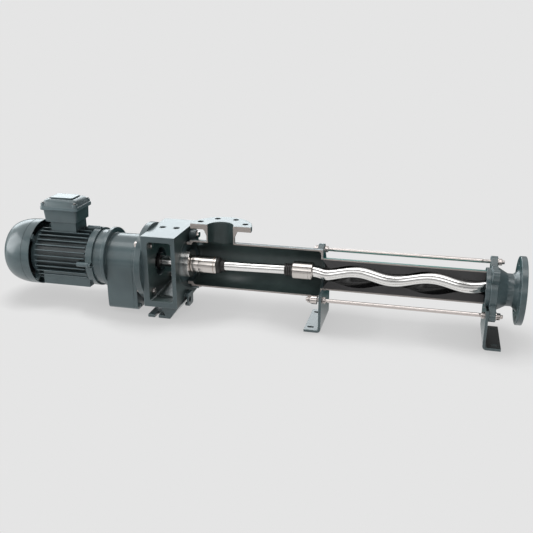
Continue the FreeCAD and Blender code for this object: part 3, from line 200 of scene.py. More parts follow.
def body_of(node):
    for body, nodes in frame["record"]["behaviour"]["bodies"].items():
        if node in nodes:
            return body
    raise ValueError("no body holds " + node)


# Sizes and colours a user would change

def swatch(name, description, colour):
    return FloatVectorProperty(name=name, description=description, subtype="COLOR", size=4, min=0, max=1,
                               default=linear(colour))


def edge_radius(name, description, radius, most):
    return FloatProperty(name=name, description=description, unit="LENGTH", default=radius * MM,
                         min=0.1 * MM, max=most * MM)


class PumpPaint(bpy.types.PropertyGroup):
    casting_light: swatch("Enamel, light", "Lighter tone of the enamel on the castings", "#4b5a5d")
    casting_dark: swatch("Enamel, dark", "Darker tone of the enamel on the castings", "#3f4d50")
    # The edge tone is edge wear, and a painted highlight on rounded edges
    edge: swatch("Enamel, worn edge", "Enamel where it is thin on an edge", "#7d8d92")
    # Painted light: the inside primer is drawn lighter than the branch bore's copy
    inside_primer_painted_lighter: swatch("Lining", "Dark primer inside the casing", "#505f5e")
    cut: swatch("Cut metal", "Sawn and milled faces of the cut castings", "#a59d98")


class PumpSizes(bpy.types.PropertyGroup):
    casting_edge: edge_radius("Casting edge", "Radius on the edges of castings", 1.4, 4)
    sheet_edge: edge_radius("Sheet edge", "Radius on the edges of machined and bent parts", 0.6, 2)
    edge_segments: IntProperty(
        name="Edge segments", description="Facets across a rounded edge", default=2, min=1, max=6)


# Nodes and materials

def add_node(tree, kind, inputs=None, **settings):
    """Add one shader node, set its properties, and give its sockets values or links."""
    made = tree.nodes.new("ShaderNode" + kind)
    for name, value in settings.items():
        setattr(made, name, value)
    for name, value in (inputs or {}).items():
        if isinstance(value, bpy.types.NodeSocket):
            tree.links.new(value, made.inputs[name])
        else:
            made.inputs[name].default_value = value
    return made


def ramp(tree, value, stops):
    """Colour ramp over a value, with its stops as (position, colour)."""
    made = add_node(tree, "ValToRGB", {"Fac": value})
    elements = made.color_ramp.elements
    while len(elements) < len(stops):
        elements.new(0.5)
    for element, (position, colour) in zip(elements, stops):
        element.position = position
        element.color = colour
    return made.outputs["Color"]


def map_range(tree, value, to_min, to_max, from_min=0.0, from_max=1.0):
    made = add_node(tree, "MapRange", {"Value": value, "From Min": from_min, "From Max": from_max,
                                       "To Min": to_min, "To Max": to_max})
    return made.outputs["Result"]


def noise(tree, place, scale, detail):
    """Cloudy pattern with so many patches to the metre."""
    made = add_node(tree, "TexNoise", {"Vector": place, "Scale": scale, "Detail": detail})
    return made.outputs["Fac"]


def raised(tree, pattern, strength, height_mm):
    """Shading normal over a pattern that stands proud."""
    made = add_node(tree, "Bump", {"Height": pattern, "Strength": strength, "Distance": height_mm * MM})
    return made.outputs["Normal"]


def mottle(tree, pattern, colour, low):
    """The colour, down to a low share of itself where the pattern is dark."""
    dim = tuple(low * c for c in colour[:3]) + (1.0,)
    return ramp(tree, pattern, [(0.3, dim), (0.7, colour)])


def nearness(tree, distance, stops, samples=8, only_local=False):
    """Ramp from the first stop, where other faces stand close, to the last one in the open."""
    gap = add_node(tree, "AmbientOcclusion", {"Distance": distance}, samples=samples,
                   only_local=only_local)
    return ramp(tree, gap.outputs["AO"], stops)


def multiply(tree, first, second):
    made = add_node(tree, "MixRGB", {"Fac": 1.0, "Color1": first, "Color2": second}, blend_type="MULTIPLY")
    return made.outputs["Color"]


def mix_shaders(tree, factor, first, second):
    return add_node(tree, "MixShader", {0: factor, 1: first, 2: second}).outputs[0]


def grey(value):
    return (value, value, value, 1.0)


def start_material(name):
    material = bpy.data.materials.new(name)
    material.use_nodes = True
    tree = material.node_tree
    tree.nodes.clear()
    place = add_node(tree, "TexCoord").outputs["Object"]
    return material, tree, place


def close_material(material, shader_inputs):
    """Give a material its shader, and hand the material back."""
    tree = material.node_tree
    shader = add_node(tree, "BsdfPrincipled", shader_inputs)
    add_node(tree, "OutputMaterial", {"Surface": shader.outputs["BSDF"]})
    return material


def enamel(name, light, dark, edge, roughness):
    """Two-part polyurethane enamel, sprayed: even, half gloss, a faint orange peel; lighter on rounded edges,
    as edge wear and a painted highlight, and painted shade in corners and gaps.
    """
    material, tree, place = start_material(name)
    # The coat's tone drifts over about 90 mm
    cloud = noise(tree, place, 11.0, 2.0)
    tone = ramp(tree, cloud, [(0.35, dark), (0.65, light)])
    shape = add_node(tree, "NewGeometry")
    # Rounded edges take the lighter edge tone: edge wear, and a painted highlight
    worn_and_highlit = ramp(tree, shape.outputs["Pointiness"], [(0.53, grey(0.0)), (0.60, grey(0.7))])
    # Only the facets of a rounded edge lean away from their shading normal, so a flat face stays even
    lean = add_node(tree, "VectorMath", {0: shape.outputs["Normal"], 1: shape.outputs["True Normal"]},
                    operation="DOT_PRODUCT")
    rounded = map_range(tree, lean.outputs["Value"], 0.0, 1.0, from_min=0.9999, from_max=0.9985)
    thin_and_highlit = add_node(tree, "Math", {0: worn_and_highlit, 1: rounded}, operation="MULTIPLY")
    colour = add_node(tree, "MixRGB", {"Fac": thin_and_highlit.outputs["Value"], "Color1": tone, "Color2": edge})
    # Painted shade: corners and gaps are darkened, nearly to black, where other faces stand close
    depth = nearness(tree, 30 * MM, [(0.2, grey(0.05)), (0.8, grey(1.0))], only_local=True)
    # Orange peel is about 1.5 mm across and is drawn at 4 mm so that it shows
    peel = noise(tree, place, 250.0, 2.0)
    return close_material(material, {
        "Base Color": multiply(tree, colour.outputs["Color"], depth),
        "Roughness": map_range(tree, cloud, roughness - 0.04, roughness + 0.05),
        "Normal": raised(tree, peel, 0.012, 0.4), "IOR": 1.5, "Coat Weight": 0.38, "Coat Roughness": 0.12})


def primer_with_painted_shade(name, colour, shine=0.5):
    """Epoxy primer rolled on: nearly black green, smoother where liquid runs, dull where dust lies on it,
    with painted shade in its corners.
    """
    material, tree, place = start_material(name)
    cloud = noise(tree, place, 25.0, 4.0)
    # Painted shade: corners darken where other faces stand close
    depth = nearness(tree, 80 * MM, [(0.25, grey(0.3)), (0.85, grey(1.0))])
    return close_material(material, {
        "Base Color": multiply(tree, mottle(tree, cloud, colour, 0.75), depth),
        "Roughness": map_range(tree, cloud, 0.28, 0.42), "Normal": raised(tree, cloud, 0.1, 1.0),
        "IOR": 1.5, "Specular IOR Level": shine})


def milled_cast_iron(name, colour):
    """Grey cast iron, sawn and face milled: matt, with fine straight tool marks."""
    material, tree, place = start_material(name)
    # Feed marks are 0.3 mm apart and are drawn about 5 mm apart so that they show
    marks = add_node(tree, "TexWave", {"Vector": place, "Scale": 80.0, "Distortion": 1.5, "Detail": 2.0},
                     bands_direction="DIAGONAL")
    grain = noise(tree, place, 600.0, 2.0)
    return close_material(material, {
        "Base Color": mottle(tree, grain, colour, 0.86), "Metallic": 0.25, "Roughness": 0.5,
        "Normal": raised(tree, marks.outputs["Fac"], 0.08, 0.3)})


def machined_metal(name, colour, roughness, mark_mm, mark_depth, stretch=(1.0, 0.02, 0.02), spread=0.0):
    """Machined metal, most of it turned: tool marks run round X and spread the highlight across them."""
    material, tree, place = start_material(name)
    scaled = add_node(tree, "Mapping", {"Vector": place, "Scale": stretch}).outputs["Vector"]
    marks = noise(tree, scaled, 1.0 / (mark_mm * MM), 3.0)
    smear = noise(tree, place, 40.0, 2.0)
    inputs = {
        "Base Color": mottle(tree, marks, linear(colour), 0.94), "Metallic": 1.0, "Anisotropic": spread,
        "Anisotropic Rotation": 0.25, "Roughness": map_range(tree, smear, roughness - 0.03, roughness + 0.05),
        "Normal": raised(tree, marks, mark_depth, 0.2)}
    if spread:
        rings = add_node(tree, "Tangent", direction_type="RADIAL", axis="X")
        inputs["Tangent"] = rings.outputs["Tangent"]
    return close_material(material, inputs)


def moulded_rubber(name, colour, roughness):
    """Moulded rubber: nearly black or deeply coloured, with a dull sheen and a fine matt skin."""
    material, tree, place = start_material(name)
    skin = noise(tree, place, 400.0, 3.0)
    cloud = noise(tree, place, 18.0, 2.0)
    return close_material(material, {
        "Base Color": mottle(tree, cloud, linear(colour), 0.8),
        "Roughness": map_range(tree, skin, roughness - 0.08, roughness + 0.08),
        "Normal": raised(tree, skin, 0.1, 0.3), "IOR": 1.52})


def moulded_plastic(name, colour):
    """Moulded polyamide, or sintered ceramic: even colour, half matt, with a fine grain."""
    material, tree, place = start_material(name)
    grain = noise(tree, place, 700.0, 2.0)
    return close_material(material, {
        "Base Color": mottle(tree, grain, linear(colour), 0.85), "Roughness": 0.45,
        "Normal": raised(tree, grain, 0.15, 0.2), "IOR": 1.53})


def build_materials(paint):
    light, dark, edge = tuple(paint.casting_light), tuple(paint.casting_dark), tuple(paint.edge)
    return {
        "enamel": enamel("polyurethane_enamel_on_cast_iron", light, dark, edge, 0.33),
        "drive_enamel": enamel("polyurethane_enamel_on_aluminium", light, dark, edge, 0.30),
        # Painted highlight: the stator tube's teal paint stands in for the teal highlight line along its top
        # edge
        "teal_painted_highlight_enamel": enamel("teal_enamel_painted_highlight_on_tube", linear("#2f8a82"), linear("#287a73"),
                              linear("#4fa39b"), 0.30),
        # Painted light: one primer in lit and shaded copies, lighter for the casing room and the lantern
        # window, darker for the branch bore and the lantern's face
        "primer_with_painted_shade": primer_with_painted_shade("epoxy_primer_with_painted_shade_inside", tuple(paint.inside_primer_painted_lighter)),
        "darker_primer_painted_shade": primer_with_painted_shade("epoxy_primer_darker_copy_painted_shade", linear("#3a4848")),
        # Painted shade: near black primer on the top of the discharge foot's plate
        "painted_shade_plate_top": primer_with_painted_shade("near_black_primer_painted_shade", linear("#1c2524"), 0.1),
        "cut": milled_cast_iron("grey_iron_milled", tuple(paint.cut)),
        "turned": machined_metal("stainless_turned", "#d6d0cb", 0.19, 1.2, 0.02),
        "faced": machined_metal("stainless_faced", "#f6f4f1", 0.22, 1.2, 0.02, spread=0.8),
        "polished": machined_metal("stainless_polished", "#f2f1ef", 0.12, 40.0, 0.0, (1.0, 0.3, 0.3)),
        "zinc": machined_metal("steel_zinc_plated", "#d2cac6", 0.17, 2.0, 0.01, (1.0, 1.0, 1.0)),
        "gear": machined_metal("case_hardened_steel_ground", "#8d8c8a", 0.35, 1.0, 0.10),
        "lamination": machined_metal("electrical_sheet_stack", "#6f6d6b", 0.5, 0.9, 0.4),
        "ceramic": moulded_plastic("silicon_carbide_lapped", "#3a3a3b"),
        "rubber": moulded_rubber("nitrile_rubber_cut", "#3a393a", 0.55),
        "wet_rubber": moulded_rubber("nitrile_rubber_moulded", "#1d1d1e", 0.24),
        "boot": moulded_rubber("nitrile_rubber_boot", "#272524", 0.42),
        "plastic": moulded_plastic("polyamide_black", "#26282a"),
        "copper": machined_metal("copper_wire_varnished", "#8a4b2c", 0.4, 1.5, 0.5, (0.05, 1.0, 1.0)),
        "amber": moulded_rubber("fluorocarbon_ring", "#7a5238", 0.4),
    }


MATERIALS = {}


# Mesh tools

def soften(outline):
    """Round the corners of a closed outline. Each corner is (a, b) or (a, b, radius)."""
    result = []
    steps = 4
    count = len(outline)
    for i, corner in enumerate(outline):
        here = Vector(corner[:2])
        radius = corner[2] if len(corner) > 2 else 0.0
        if radius <= 0:
            result.append(tuple(here))
            continue
        before = Vector(outline[i - 1][:2]) - here
        after = Vector(outline[(i + 1) % count][:2]) - here
        cut = min(radius, before.length * 0.48, after.length * 0.48)
        start = here + before.normalized() * cut
        end = here + after.normalized() * cut
        for k in range(steps + 1):
            t = k / steps
            result.append(tuple(start * (1 - t) ** 2 + here * 2 * t * (1 - t) + end * t ** 2))
    return result


def polar(x, radius, angle, centre=(0.0, 0.0)):
    """Point off an axis along X. Angles are in radians and run from +Y towards +Z."""
    return (x, centre[0] + radius * math.cos(angle), centre[1] + radius * math.sin(angle))


def revolve(bm, outline, segments=FACETS, start=0.0, sweep=360.0, centre=(0.0, 0.0)):
    """Turn a closed (x, radius) outline about an axis along X, over angles in degrees."""
    full = abs(sweep) > 359.9
    steps = segments if full else segments + 1
    rings = []
    for i in range(steps):
        a = math.radians(start + sweep * i / segments)
        rings.append([bm.verts.new(polar(x, r, a, centre)) for x, r in outline])
    made = []
    for i in range(segments):
        here, there = rings[i], rings[(i + 1) % steps]
        for k in range(len(outline)):
            n = (k + 1) % len(outline)
            made.append(bm.faces.new((here[k], here[n], there[n], there[k])))
    if not full:
        made.append(bm.faces.new(rings[0]))
        made.append(bm.faces.new(list(reversed(rings[-1]))))
    return made


def loft(bm, rings):
    """Skin between rings of the same count of points, with closed ends."""
    rows = [[bm.verts.new(p) for p in ring] for ring in rings]
    count = len(rings[0])
    for here, there in zip(rows, rows[1:]):
        for k in range(count):
            n = (k + 1) % count
            bm.faces.new((here[k], there[k], there[n], here[n]))
    bm.faces.new(rows[0])
    bm.faces.new(list(reversed(rows[-1])))


def circle(x, radius, centre, count):
    return [polar(x, radius, 2 * math.pi * k / count, centre) for k in range(count)]


def rounded_ring(x0, x1, y0, y1, z, radius):
    """Level ring: a rectangle with round corners."""
    points = []
    steps = 6
    for x, y, start in ((x1, y1, 0), (x0, y1, 90), (x0, y0, 180), (x1, y0, 270)):
        centre_x = x - math.copysign(radius, x - (x0 + x1) / 2)
        centre_y = y - math.copysign(radius, y - (y0 + y1) / 2)
        for k in range(steps + 1):
            a = math.radians(start + 90 * k / steps)
            points.append((centre_x + radius * math.cos(a), centre_y + radius * math.sin(a), z))
    return points


def shade_smooth(bm, sharp_angle):
    for face in bm.faces:
        face.smooth = True
    limit = math.radians(sharp_angle)
    for edge in bm.edges:
        edge.smooth = edge.calc_face_angle(0.0) < limit


def tidy_mesh(bm, sharp_angle=32.0):
    bmesh.ops.remove_doubles(bm, verts=bm.verts, dist=DRAWN_WELD)
    bmesh.ops.recalc_face_normals(bm, faces=bm.faces)
    shade_smooth(bm, sharp_angle)


def place_piece(name, bm, finish, replaced, cut_finish=None, sharp_angle=32.0, drawn=True):
    """Make a piece from a bmesh, give it its finish, and let it ride with the nodes it stands for.

    A drawn piece is in the pump's own frame, any other one in the frame of the CAD model."""
    if drawn:
        tidy_mesh(bm, sharp_angle)
    mesh = bpy.data.meshes.new(name)
    bm.to_mesh(mesh)
    bm.free()
    if drawn:
        mesh.transform(TO_CAD)
    piece = bpy.data.objects.new(name, mesh)
    bpy.context.scene.collection.objects.link(piece)
    mesh.materials.append(MATERIALS[finish])
    if cut_finish:
        mesh.materials.append(MATERIALS[cut_finish])
    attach(piece, body_of(replaced[0]))
    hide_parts(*replaced)
    return piece


def mark_round_edges(bm, sharp):
    """Mark the edges to round. Those beside a narrow corner stay sharp, as a rounding would shoot past it."""
    weight = bm.edges.layers.float.new("bevel_weight_edge")
    narrow = set()
    for vert in bm.verts:
        for face in vert.link_faces:
            pair = [edge for edge in face.edges if vert in edge.verts]
            first, second = [edge.other_vert(vert).co - vert.co for edge in pair]
            both_sharp = all(edge.calc_face_angle(0.0) > sharp for edge in pair)
            if both_sharp and first.angle(second) < NARROW_CORNER:
                narrow.add(vert)
    for edge in bm.edges:
        near = set(edge.verts)
        for vert in edge.verts:
            near |= {side.other_vert(vert) for side in vert.link_edges if side.calc_length() < SHORT_EDGE}
        if edge.calc_face_angle(0.0) > sharp and not near & narrow:
            edge[weight] = 1.0


def round_edges(piece, width, segments):
    bevel = piece.modifiers.new("rounded_edges", "BEVEL")
    bevel.width = width
    bevel.segments = segments
    bevel.limit_method = "WEIGHT"
    bevel.use_clamp_overlap = False
    bevel.miter_outer = "MITER_ARC"
    normals = piece.modifiers.new("face_weighted_normals", "WEIGHTED_NORMAL")
    normals.keep_sharp = True


def dress(node, finish, cut_finish=None, is_cut=None, edge="sheet_edge", share=1.0):
    """Copy a CAD solid, join its facets into faces, and round its edges."""
    sizes = bpy.context.scene.pump_sizes
    bm = bmesh.new()
    bm.from_mesh(frame["nodes"][node].data)
    bmesh.ops.remove_doubles(bm, verts=bm.verts, dist=SOLID_WELD)
    bmesh.ops.dissolve_limit(bm, angle_limit=math.radians(0.3), verts=bm.verts, edges=bm.edges)
    for face in bm.faces:
        face.material_index = 1 if is_cut and is_cut(face) else 0
    shade_smooth(bm, 60.0)
    mark_round_edges(bm, math.radians(30.0))
    piece = place_piece(node + "_dressed", bm, finish, [node], cut_finish, drawn=False)
    round_edges(piece, getattr(sizes, edge) * share, sizes.edge_segments)
    return piece


def recoat(piece, finishes, pick):
    """Give some faces another slot. Pick takes a face's centre in the pump's own frame and its normal."""
    for finish in finishes:
        piece.data.materials.append(MATERIALS[finish])
    to_pump = TO_CAD.inverted()
    for face in piece.data.polygons:
        slot = pick(*(to_pump @ face.center), face.normal)
        if slot and not face.material_index:
            face.material_index = slot


def on_cut(face):
    """True for a face that the saw left: it looks towards -Y on the plane of the pump axis."""
    return face.normal.y < -0.99 and abs(face.calc_center_median().y) < 0.2 * MM


def finish_nodes(finish, *nodes):
    """Give CAD nodes that keep their own mesh their material."""
    for node in nodes:
        shown = frame["nodes"][node]
        if not shown.material_slots:
            shown.data.materials.append(MATERIALS[finish])
        for slot in shown.material_slots:
            slot.material = MATERIALS[finish]


# Rotor and stator

def orbit_offset():
    a = math.radians(ORBIT_ANGLE)
    return ECCENTRICITY * math.cos(a), ECCENTRICITY * math.sin(a)


def helix_angle(x):
    return CREST_ANGLE + 360.0 * (x - CREST_X) / ROTOR_PITCH


def rotor_centre(x):
    """Centre of the rotor's round section, which swings out from its axis over the first stretch."""
    swing = min(1.0, max(0.0, (x - ROTOR_X0) / ROTOR_RAMP))
    swing = ECCENTRICITY * swing * swing * (3 - 2 * swing)
    a = math.radians(helix_angle(x))
    y0, z0 = orbit_offset()
    return y0 + swing * math.cos(a), z0 + swing * math.sin(a)


def cavity_radius(x, direction):
    """Distance from the stator's axis to the wall of its double helix cavity, in one direction."""
    angle = math.radians((ORBIT_ANGLE + helix_angle(x)) / 2)
    radius = ROTOR_R + ROTOR_CLEARANCE
    half = 2 * ECCENTRICITY
    c, s = abs(math.cos(direction - angle)), abs(math.sin(direction - angle))
    if s > 1e-6 and radius * c / s <= half:
        wall = radius / s
    else:
        wall = half * c + math.sqrt(radius ** 2 - (half * s) ** 2)
    depth = (x - STATOR_X0) / LEAD_IN_DEPTH
    cone = LEAD_IN_R + (radius - LEAD_IN_R) * depth
    return max(wall, cone)


class PUMP_OT_rotor(bpy.types.Operator):
    """Single helix rotor, polished"""
    bl_idname = "pump.rotor"
    bl_label = "Rotor"

    def execute(self, context):
        bm = bmesh.new()
        rings = []
        for i in range(ROTOR_STEPS + 1):
            x = ROTOR_X0 + (ROTOR_X1 - ROTOR_CHAMFER - ROTOR_X0) * i / ROTOR_STEPS
            rings.append(circle(x, ROTOR_R, rotor_centre(x), FACETS))
        rings.append(circle(ROTOR_X1, ROTOR_R - ROTOR_CHAMFER, rotor_centre(ROTOR_X1), FACETS))
        loft(bm, rings)
        place_piece("rotor_helix", bm, "polished", ["rotor"])
        return {"FINISHED"}


class PUMP_OT_stator(bpy.types.Operator):
    """Half of the stator: steel tube, rubber with its double helix cavity, end ring"""
    bl_idname = "pump.stator"
    bl_label = "Stator"

    def execute(self, context):
        bm = bmesh.new()
        inner_r = STATOR_R - STATOR_WALL
        outside = [math.radians(-90 + 180 * k / 32) for k in range(33)]
        inside = [math.radians(90 - 180 * k / 64) for k in range(65)]
        rings = []
        for i in range(STATOR_STEPS + 1):
            x = STATOR_X0 + (STATOR_X1 - STATOR_X0) * i / STATOR_STEPS
            rings.append([polar(x, inner_r, a) for a in outside] +
                         [polar(x, cavity_radius(x, a), a) for a in inside])
        loft(bm, rings)
        for face in bm.faces:
            middle = face.calc_center_median()
            if abs(middle.y) > 0.05 and math.hypot(middle.y, middle.z) < inner_r - 0.4:
                face.material_index = 1
        place_piece("stator_rubber_half", bm, "rubber", ["stator_rubber"], "wet_rubber", sharp_angle=40.0)

        bm = bmesh.new()
        outline = soften([(STATOR_X0, inner_r), (STATOR_X1, inner_r), (STATOR_X1, STATOR_R, 1.0),
                          (STATOR_X0, STATOR_R, 1.0)])
        caps = revolve(bm, outline, 64, -90, 180)[-2:]
        for face in caps:
            face.material_index = 1
        # Painted highlight: teal paint stands in for the highlight line along the tube's top edge
        place_piece("stator_tube_half", bm, "teal_painted_highlight_enamel", ["stator_tube"], "cut")
        dress("stator_end_ring", "enamel")
        return {"FINISHED"}


# Joints, boots and coupling rod

def tilt_matrix():
    """Turns the X axis onto the coupling rod's axis, about the drive joint's centre."""
    y, z = orbit_offset()
    along = Vector((ROTOR_PIN_X - DRIVE_PIN_X, y, z)).normalized()
    turn = Vector((1, 0, 0)).rotation_difference(along).to_matrix().to_4x4()
    centre = Matrix.Translation((DRIVE_PIN_X, 0, 0))
    return centre @ turn @ centre.inverted()


def turned_piece(node, how, outline, finish, centre=(0.0, 0.0), tilted=False):
    """Piece of revolution for a node; tilted puts it on the coupling rod's axis."""
    bm = bmesh.new()
    revolve(bm, soften(outline), centre=centre)
    if tilted:
        bmesh.ops.transform(bm, matrix=tilt_matrix(), verts=bm.verts)
    place_piece(node + "_" + how, bm, finish, [node])


def head_outline(near, far, pin_x, bore_end):
    """Joint head: outside with the groove that holds the sleeve, and a blind bore for the rod's end.

    near is the open face, far the closed one."""
    s = 1.0 if far > near else -1.0
    groove_near = pin_x - s * SLEEVE_HALF
    groove_far = pin_x + s * SLEEVE_HALF
    return [
        (near, JOINT_BORE_R + 1.0, 0.6), (near, JOINT_R - 2.2, 1.2), (near + s * 2.0, JOINT_R, 1.0),
        (groove_near, JOINT_R, 0.5), (groove_near, JOINT_HUB_R), (groove_far, JOINT_HUB_R),
        (groove_far, JOINT_R, 0.5), (far - s * 3.0, JOINT_R, 1.5), (far, JOINT_R - 3.0, 1.0),
        (far, 0.0), (bore_end, 0.0), (bore_end, JOINT_BORE_R), (near + s * 1.0, JOINT_BORE_R, 0.6),
    ]


class PUMP_OT_joints(bpy.types.Operator):
    """Universal joints with their sleeves, the rubber boots and the coupling rod"""
    bl_idname = "pump.joints"
    bl_label = "Joints and coupling rod"

    def execute(self, context):
        offset = orbit_offset()
        bm = bmesh.new()
        outline = head_outline(DRIVE_HEAD[1], DRIVE_HEAD[0], DRIVE_PIN_X, DRIVE_PIN_X - COUPLING_R - 4.0)
        # A coloured ring lies in a shallow groove near the open end
        groove = [(SEAL_RING_X + 0.9, JOINT_R), (SEAL_RING_X + 0.8, JOINT_R - 0.3),
                  (SEAL_RING_X - 0.8, JOINT_R - 0.3), (SEAL_RING_X - 0.9, JOINT_R)]
        outline = outline[:3] + groove + outline[3:]
        for face in revolve(bm, soften(outline)):
            middle = face.calc_center_median()
            if abs(middle.x - SEAL_RING_X) < 0.5 and math.hypot(middle.y, middle.z) > JOINT_HUB_R + 1:
                face.material_index = 1
        place_piece("drive_joint_head_turned", bm, "turned", ["drive_joint_head"], "amber")
        outline = head_outline(*ROTOR_HEAD, ROTOR_PIN_X, ROTOR_PIN_X + COUPLING_R + 4.0)
        turned_piece("rotor_joint_head", "turned", outline, "turned", offset)
        for name, pin_x, centre in (("drive", DRIVE_PIN_X, (0.0, 0.0)), ("rotor", ROTOR_PIN_X, offset)):
            x0, x1 = pin_x - SLEEVE_HALF, pin_x + SLEEVE_HALF
            outline = [(x0, JOINT_HUB_R), (x0, JOINT_R, 0.8), (x1, JOINT_R, 0.8), (x1, JOINT_HUB_R)]
            turned_piece(name + "_joint_sleeve", "turned", outline, "turned", centre)

        x0 = DRIVE_HEAD[1] + RUNNING_GAP
        bore = COUPLING_R + RUNNING_GAP
        wall = COUPLING_R + BOOT_WALL
        outline = [(x0 + 1.0, bore)]
        outline += [(x0 + along, wall + rise, radius) for along, rise, radius in DRIVE_BOOT_FOLDS]
        outline += [(x0 + BOOT_LENGTH - 0.1, bore)]
        turned_piece("drive_boot", "moulded", outline, "boot", tilted=True)
        x1 = ROTOR_HEAD[0] - RUNNING_GAP
        x0 = x1 - BOOT_LENGTH
        outline = [(x0, bore), (x0, wall + 0.2, 0.6)]
        for rib in (x0 + 5.0, x0 + 11.0, x0 + 17.0):
            outline += [(rib + along, wall + rise, radius) for along, rise, radius in ROTOR_BOOT_RIB]
        outline += [(x1 - 1.0, wall + 0.3, 0.8), (x1 - 0.8, bore)]
        turned_piece("rotor_boot", "moulded", outline, "boot", tilted=True)

        end = COUPLING_R - 1.0
        outline = [(DRIVE_PIN_X - end, 0), (DRIVE_PIN_X - end, COUPLING_R, 4.0),
                   (ROTOR_PIN_X + end, COUPLING_R, 4.0), (ROTOR_PIN_X + end, 0)]
        turned_piece("coupling_rod", "ground", outline, "polished", tilted=True)
        finish_nodes("gear", "drive_joint_pin", "rotor_joint_pin")
        return {"FINISHED"}


# Fasteners

def hexagon_prism(bm, x0, x1, centre, flat_angle=30.0):
    """Hexagon nut or bolt head whose corners are turned down to a cone at both ends."""
    flat_r = NUT_AF / 2
    corner_r = NUT_AF / math.sqrt(3)
    low = flat_r + 0.1
    count = 60
    rings = []
    for x, limit in ((x0, low), (x0 + TIP_CHAMFER, corner_r), (x1 - TIP_CHAMFER, corner_r), (x1, low)):
        ring = []
        for k in range(count):
            a = 2 * math.pi * k / count
            local = (a - math.radians(flat_angle) + math.pi / 6) % (math.pi / 3) - math.pi / 6
            ring.append(polar(x, min(flat_r / math.cos(local), limit), a, centre))
        rings.append(ring)
    loft(bm, rings)


def place_fasteners(node, bm):
    place_piece(node + "_chamfered", bm, "zinc", [node], sharp_angle=20.0)


def corners(distance):
    return [(a * distance, b * distance) for a in (-1, 1) for b in (-1, 1)]


def hex_bolt(bm, head_x, tip_x, centre):
    """Hexagon bolt along X: the head's seat is at head_x and the shank runs to tip_x."""
    side = 1.0 if tip_x > head_x else -1.0
    x0, x1 = sorted((head_x - side * BOLT_HEAD, head_x))
    hexagon_prism(bm, x0, x1, centre)
    near = head_x - side * 0.5
    end = tip_x - side * TIP_CHAMFER
    loft(bm, [circle(near, SHANK_R, centre, 32), circle(end, SHANK_R, centre, 32),
              circle(tip_x, ROD_R - TIP_CHAMFER, centre, 32)])


def in_thread(x):
    return x <= ROD_X0 + THREAD_LENGTH or x >= ROD_X1 - THREAD_LENGTH


def threaded_rod(bm, centre):
    """Tie rod with a real screw thread at each end."""
    count = 24
    stations = [ROD_X0]
    fine, coarse = THREAD_PITCH / 4, 8.0
    while stations[-1] < ROD_X1 - fine:
        x = stations[-1]
        stations.append(min(x + (fine if in_thread(x) else coarse), ROD_X1))
    if stations[-1] < ROD_X1:
        stations.append(ROD_X1)
    rings = []
    for x in stations:
        ring = []
        chamfer = max(0.0, TIP_CHAMFER - min(x - ROD_X0, ROD_X1 - x))
        for k in range(count):
            a = 2 * math.pi * k / count
            phase = (x / THREAD_PITCH - k / count) % 1.0
            depth = THREAD_DEPTH * abs(2 * phase - 1) if in_thread(x) else 0.0
            ring.append(polar(x, SHANK_R - max(depth, chamfer), a, centre))
        rings.append(ring)
    loft(bm, rings)


def nut_places(y, z):
    """Left faces of the nuts on one tie rod."""
    places = [EAR_X[0] - NUT_THICK, PLATE_2_X + EAR_PLATE_THICK + WASHER_THICK]
    if z > 0:
        return places + [EAR_X[1]]
    return places + [PLATE_1_X, PLATE_2_X - PLATE_THICK - NUT_THICK]


def round_spacer(bm, x0, x1, radius, corner, centre):
    """Washer or bush on a tie rod."""
    outline = [(x0, ROD_R), (x0, radius, corner), (x1, radius, corner), (x1, ROD_R)]
    revolve(bm, soften(outline), 48, centre=centre)


class PUMP_OT_tie_rods(bpy.types.Operator):
    """Tie rods with rolled threads, chamfered nuts, washers and the bush"""
    bl_idname = "pump.tie_rods"
    bl_label = "Tie rods and nuts"

    def execute(self, context):
        rods = bmesh.new()
        nuts = bmesh.new()
        rings = bmesh.new()
        for y, z in TIE_RODS:
            threaded_rod(rods, (y, z))
            flat_angle = math.degrees(math.atan2(z, y))
            for x in nut_places(y, z):
                hexagon_prism(nuts, x, x + NUT_THICK, (y, z), flat_angle)
            x = PLATE_2_X + EAR_PLATE_THICK
            round_spacer(rings, x, x + WASHER_THICK, WASHER_R, 0.4, (y, z))
        round_spacer(rings, *EAR_X, SPACER_R, 1.5, (-ROD_OFFSET, -ROD_OFFSET))
        place_piece("tie_rods_threaded", rods, "zinc", ["tie_rods"], sharp_angle=80.0)
        place_fasteners("tie_rod_nuts", nuts)
        place_piece("tie_rod_washers_and_bush", rings, "zinc", ["tie_rod_spacers"])
        return {"FINISHED"}


# Castings

def casing_slot(x, y, z, normal):
    """Painted light: the room of the casing gets the lighter primer copy against its shade, and the bore of
    its branch a darker copy where more light falls.
    """
    in_length = CASING_X[0] + CASING_END_WALL - 0.2 < x < CASING_X[1] - CASING_END_WALL + 0.2
    if in_length and math.hypot(y, z) < CASING_R - CASING_WALL + 0.3:
        return 2
    in_port = z > 0 and math.hypot(x, y) < PORT_R and normal.z < 0.9
    return 3 if in_port else 0


class PUMP_OT_suction_casing(bpy.types.Operator):
    """Half of the suction casing with its branch and flange"""
    bl_idname = "pump.suction_casing"
    bl_label = "Suction casing"

    def execute(self, context):
        piece = dress("suction_casing", "enamel", "cut", on_cut, edge="casting_edge")
        # Painted light: lighter primer copy in the room, darker copy in the branch bore
        recoat(piece, ("primer_with_painted_shade", "darker_primer_painted_shade"), casing_slot)
        dress("casing_plug", "enamel")
        bm = bmesh.new()
        head_x = LANTERN_X[1] + LUG_LENGTH
        for side in (-1, 1):
            hex_bolt(bm, head_x, LANTERN_X[1] - LANTERN_FRONT_WALL, (CASING_BOLT_Y, side * CASING_BOLT_Z))
        place_fasteners("casing_bolts", bm)
        return {"FINISHED"}


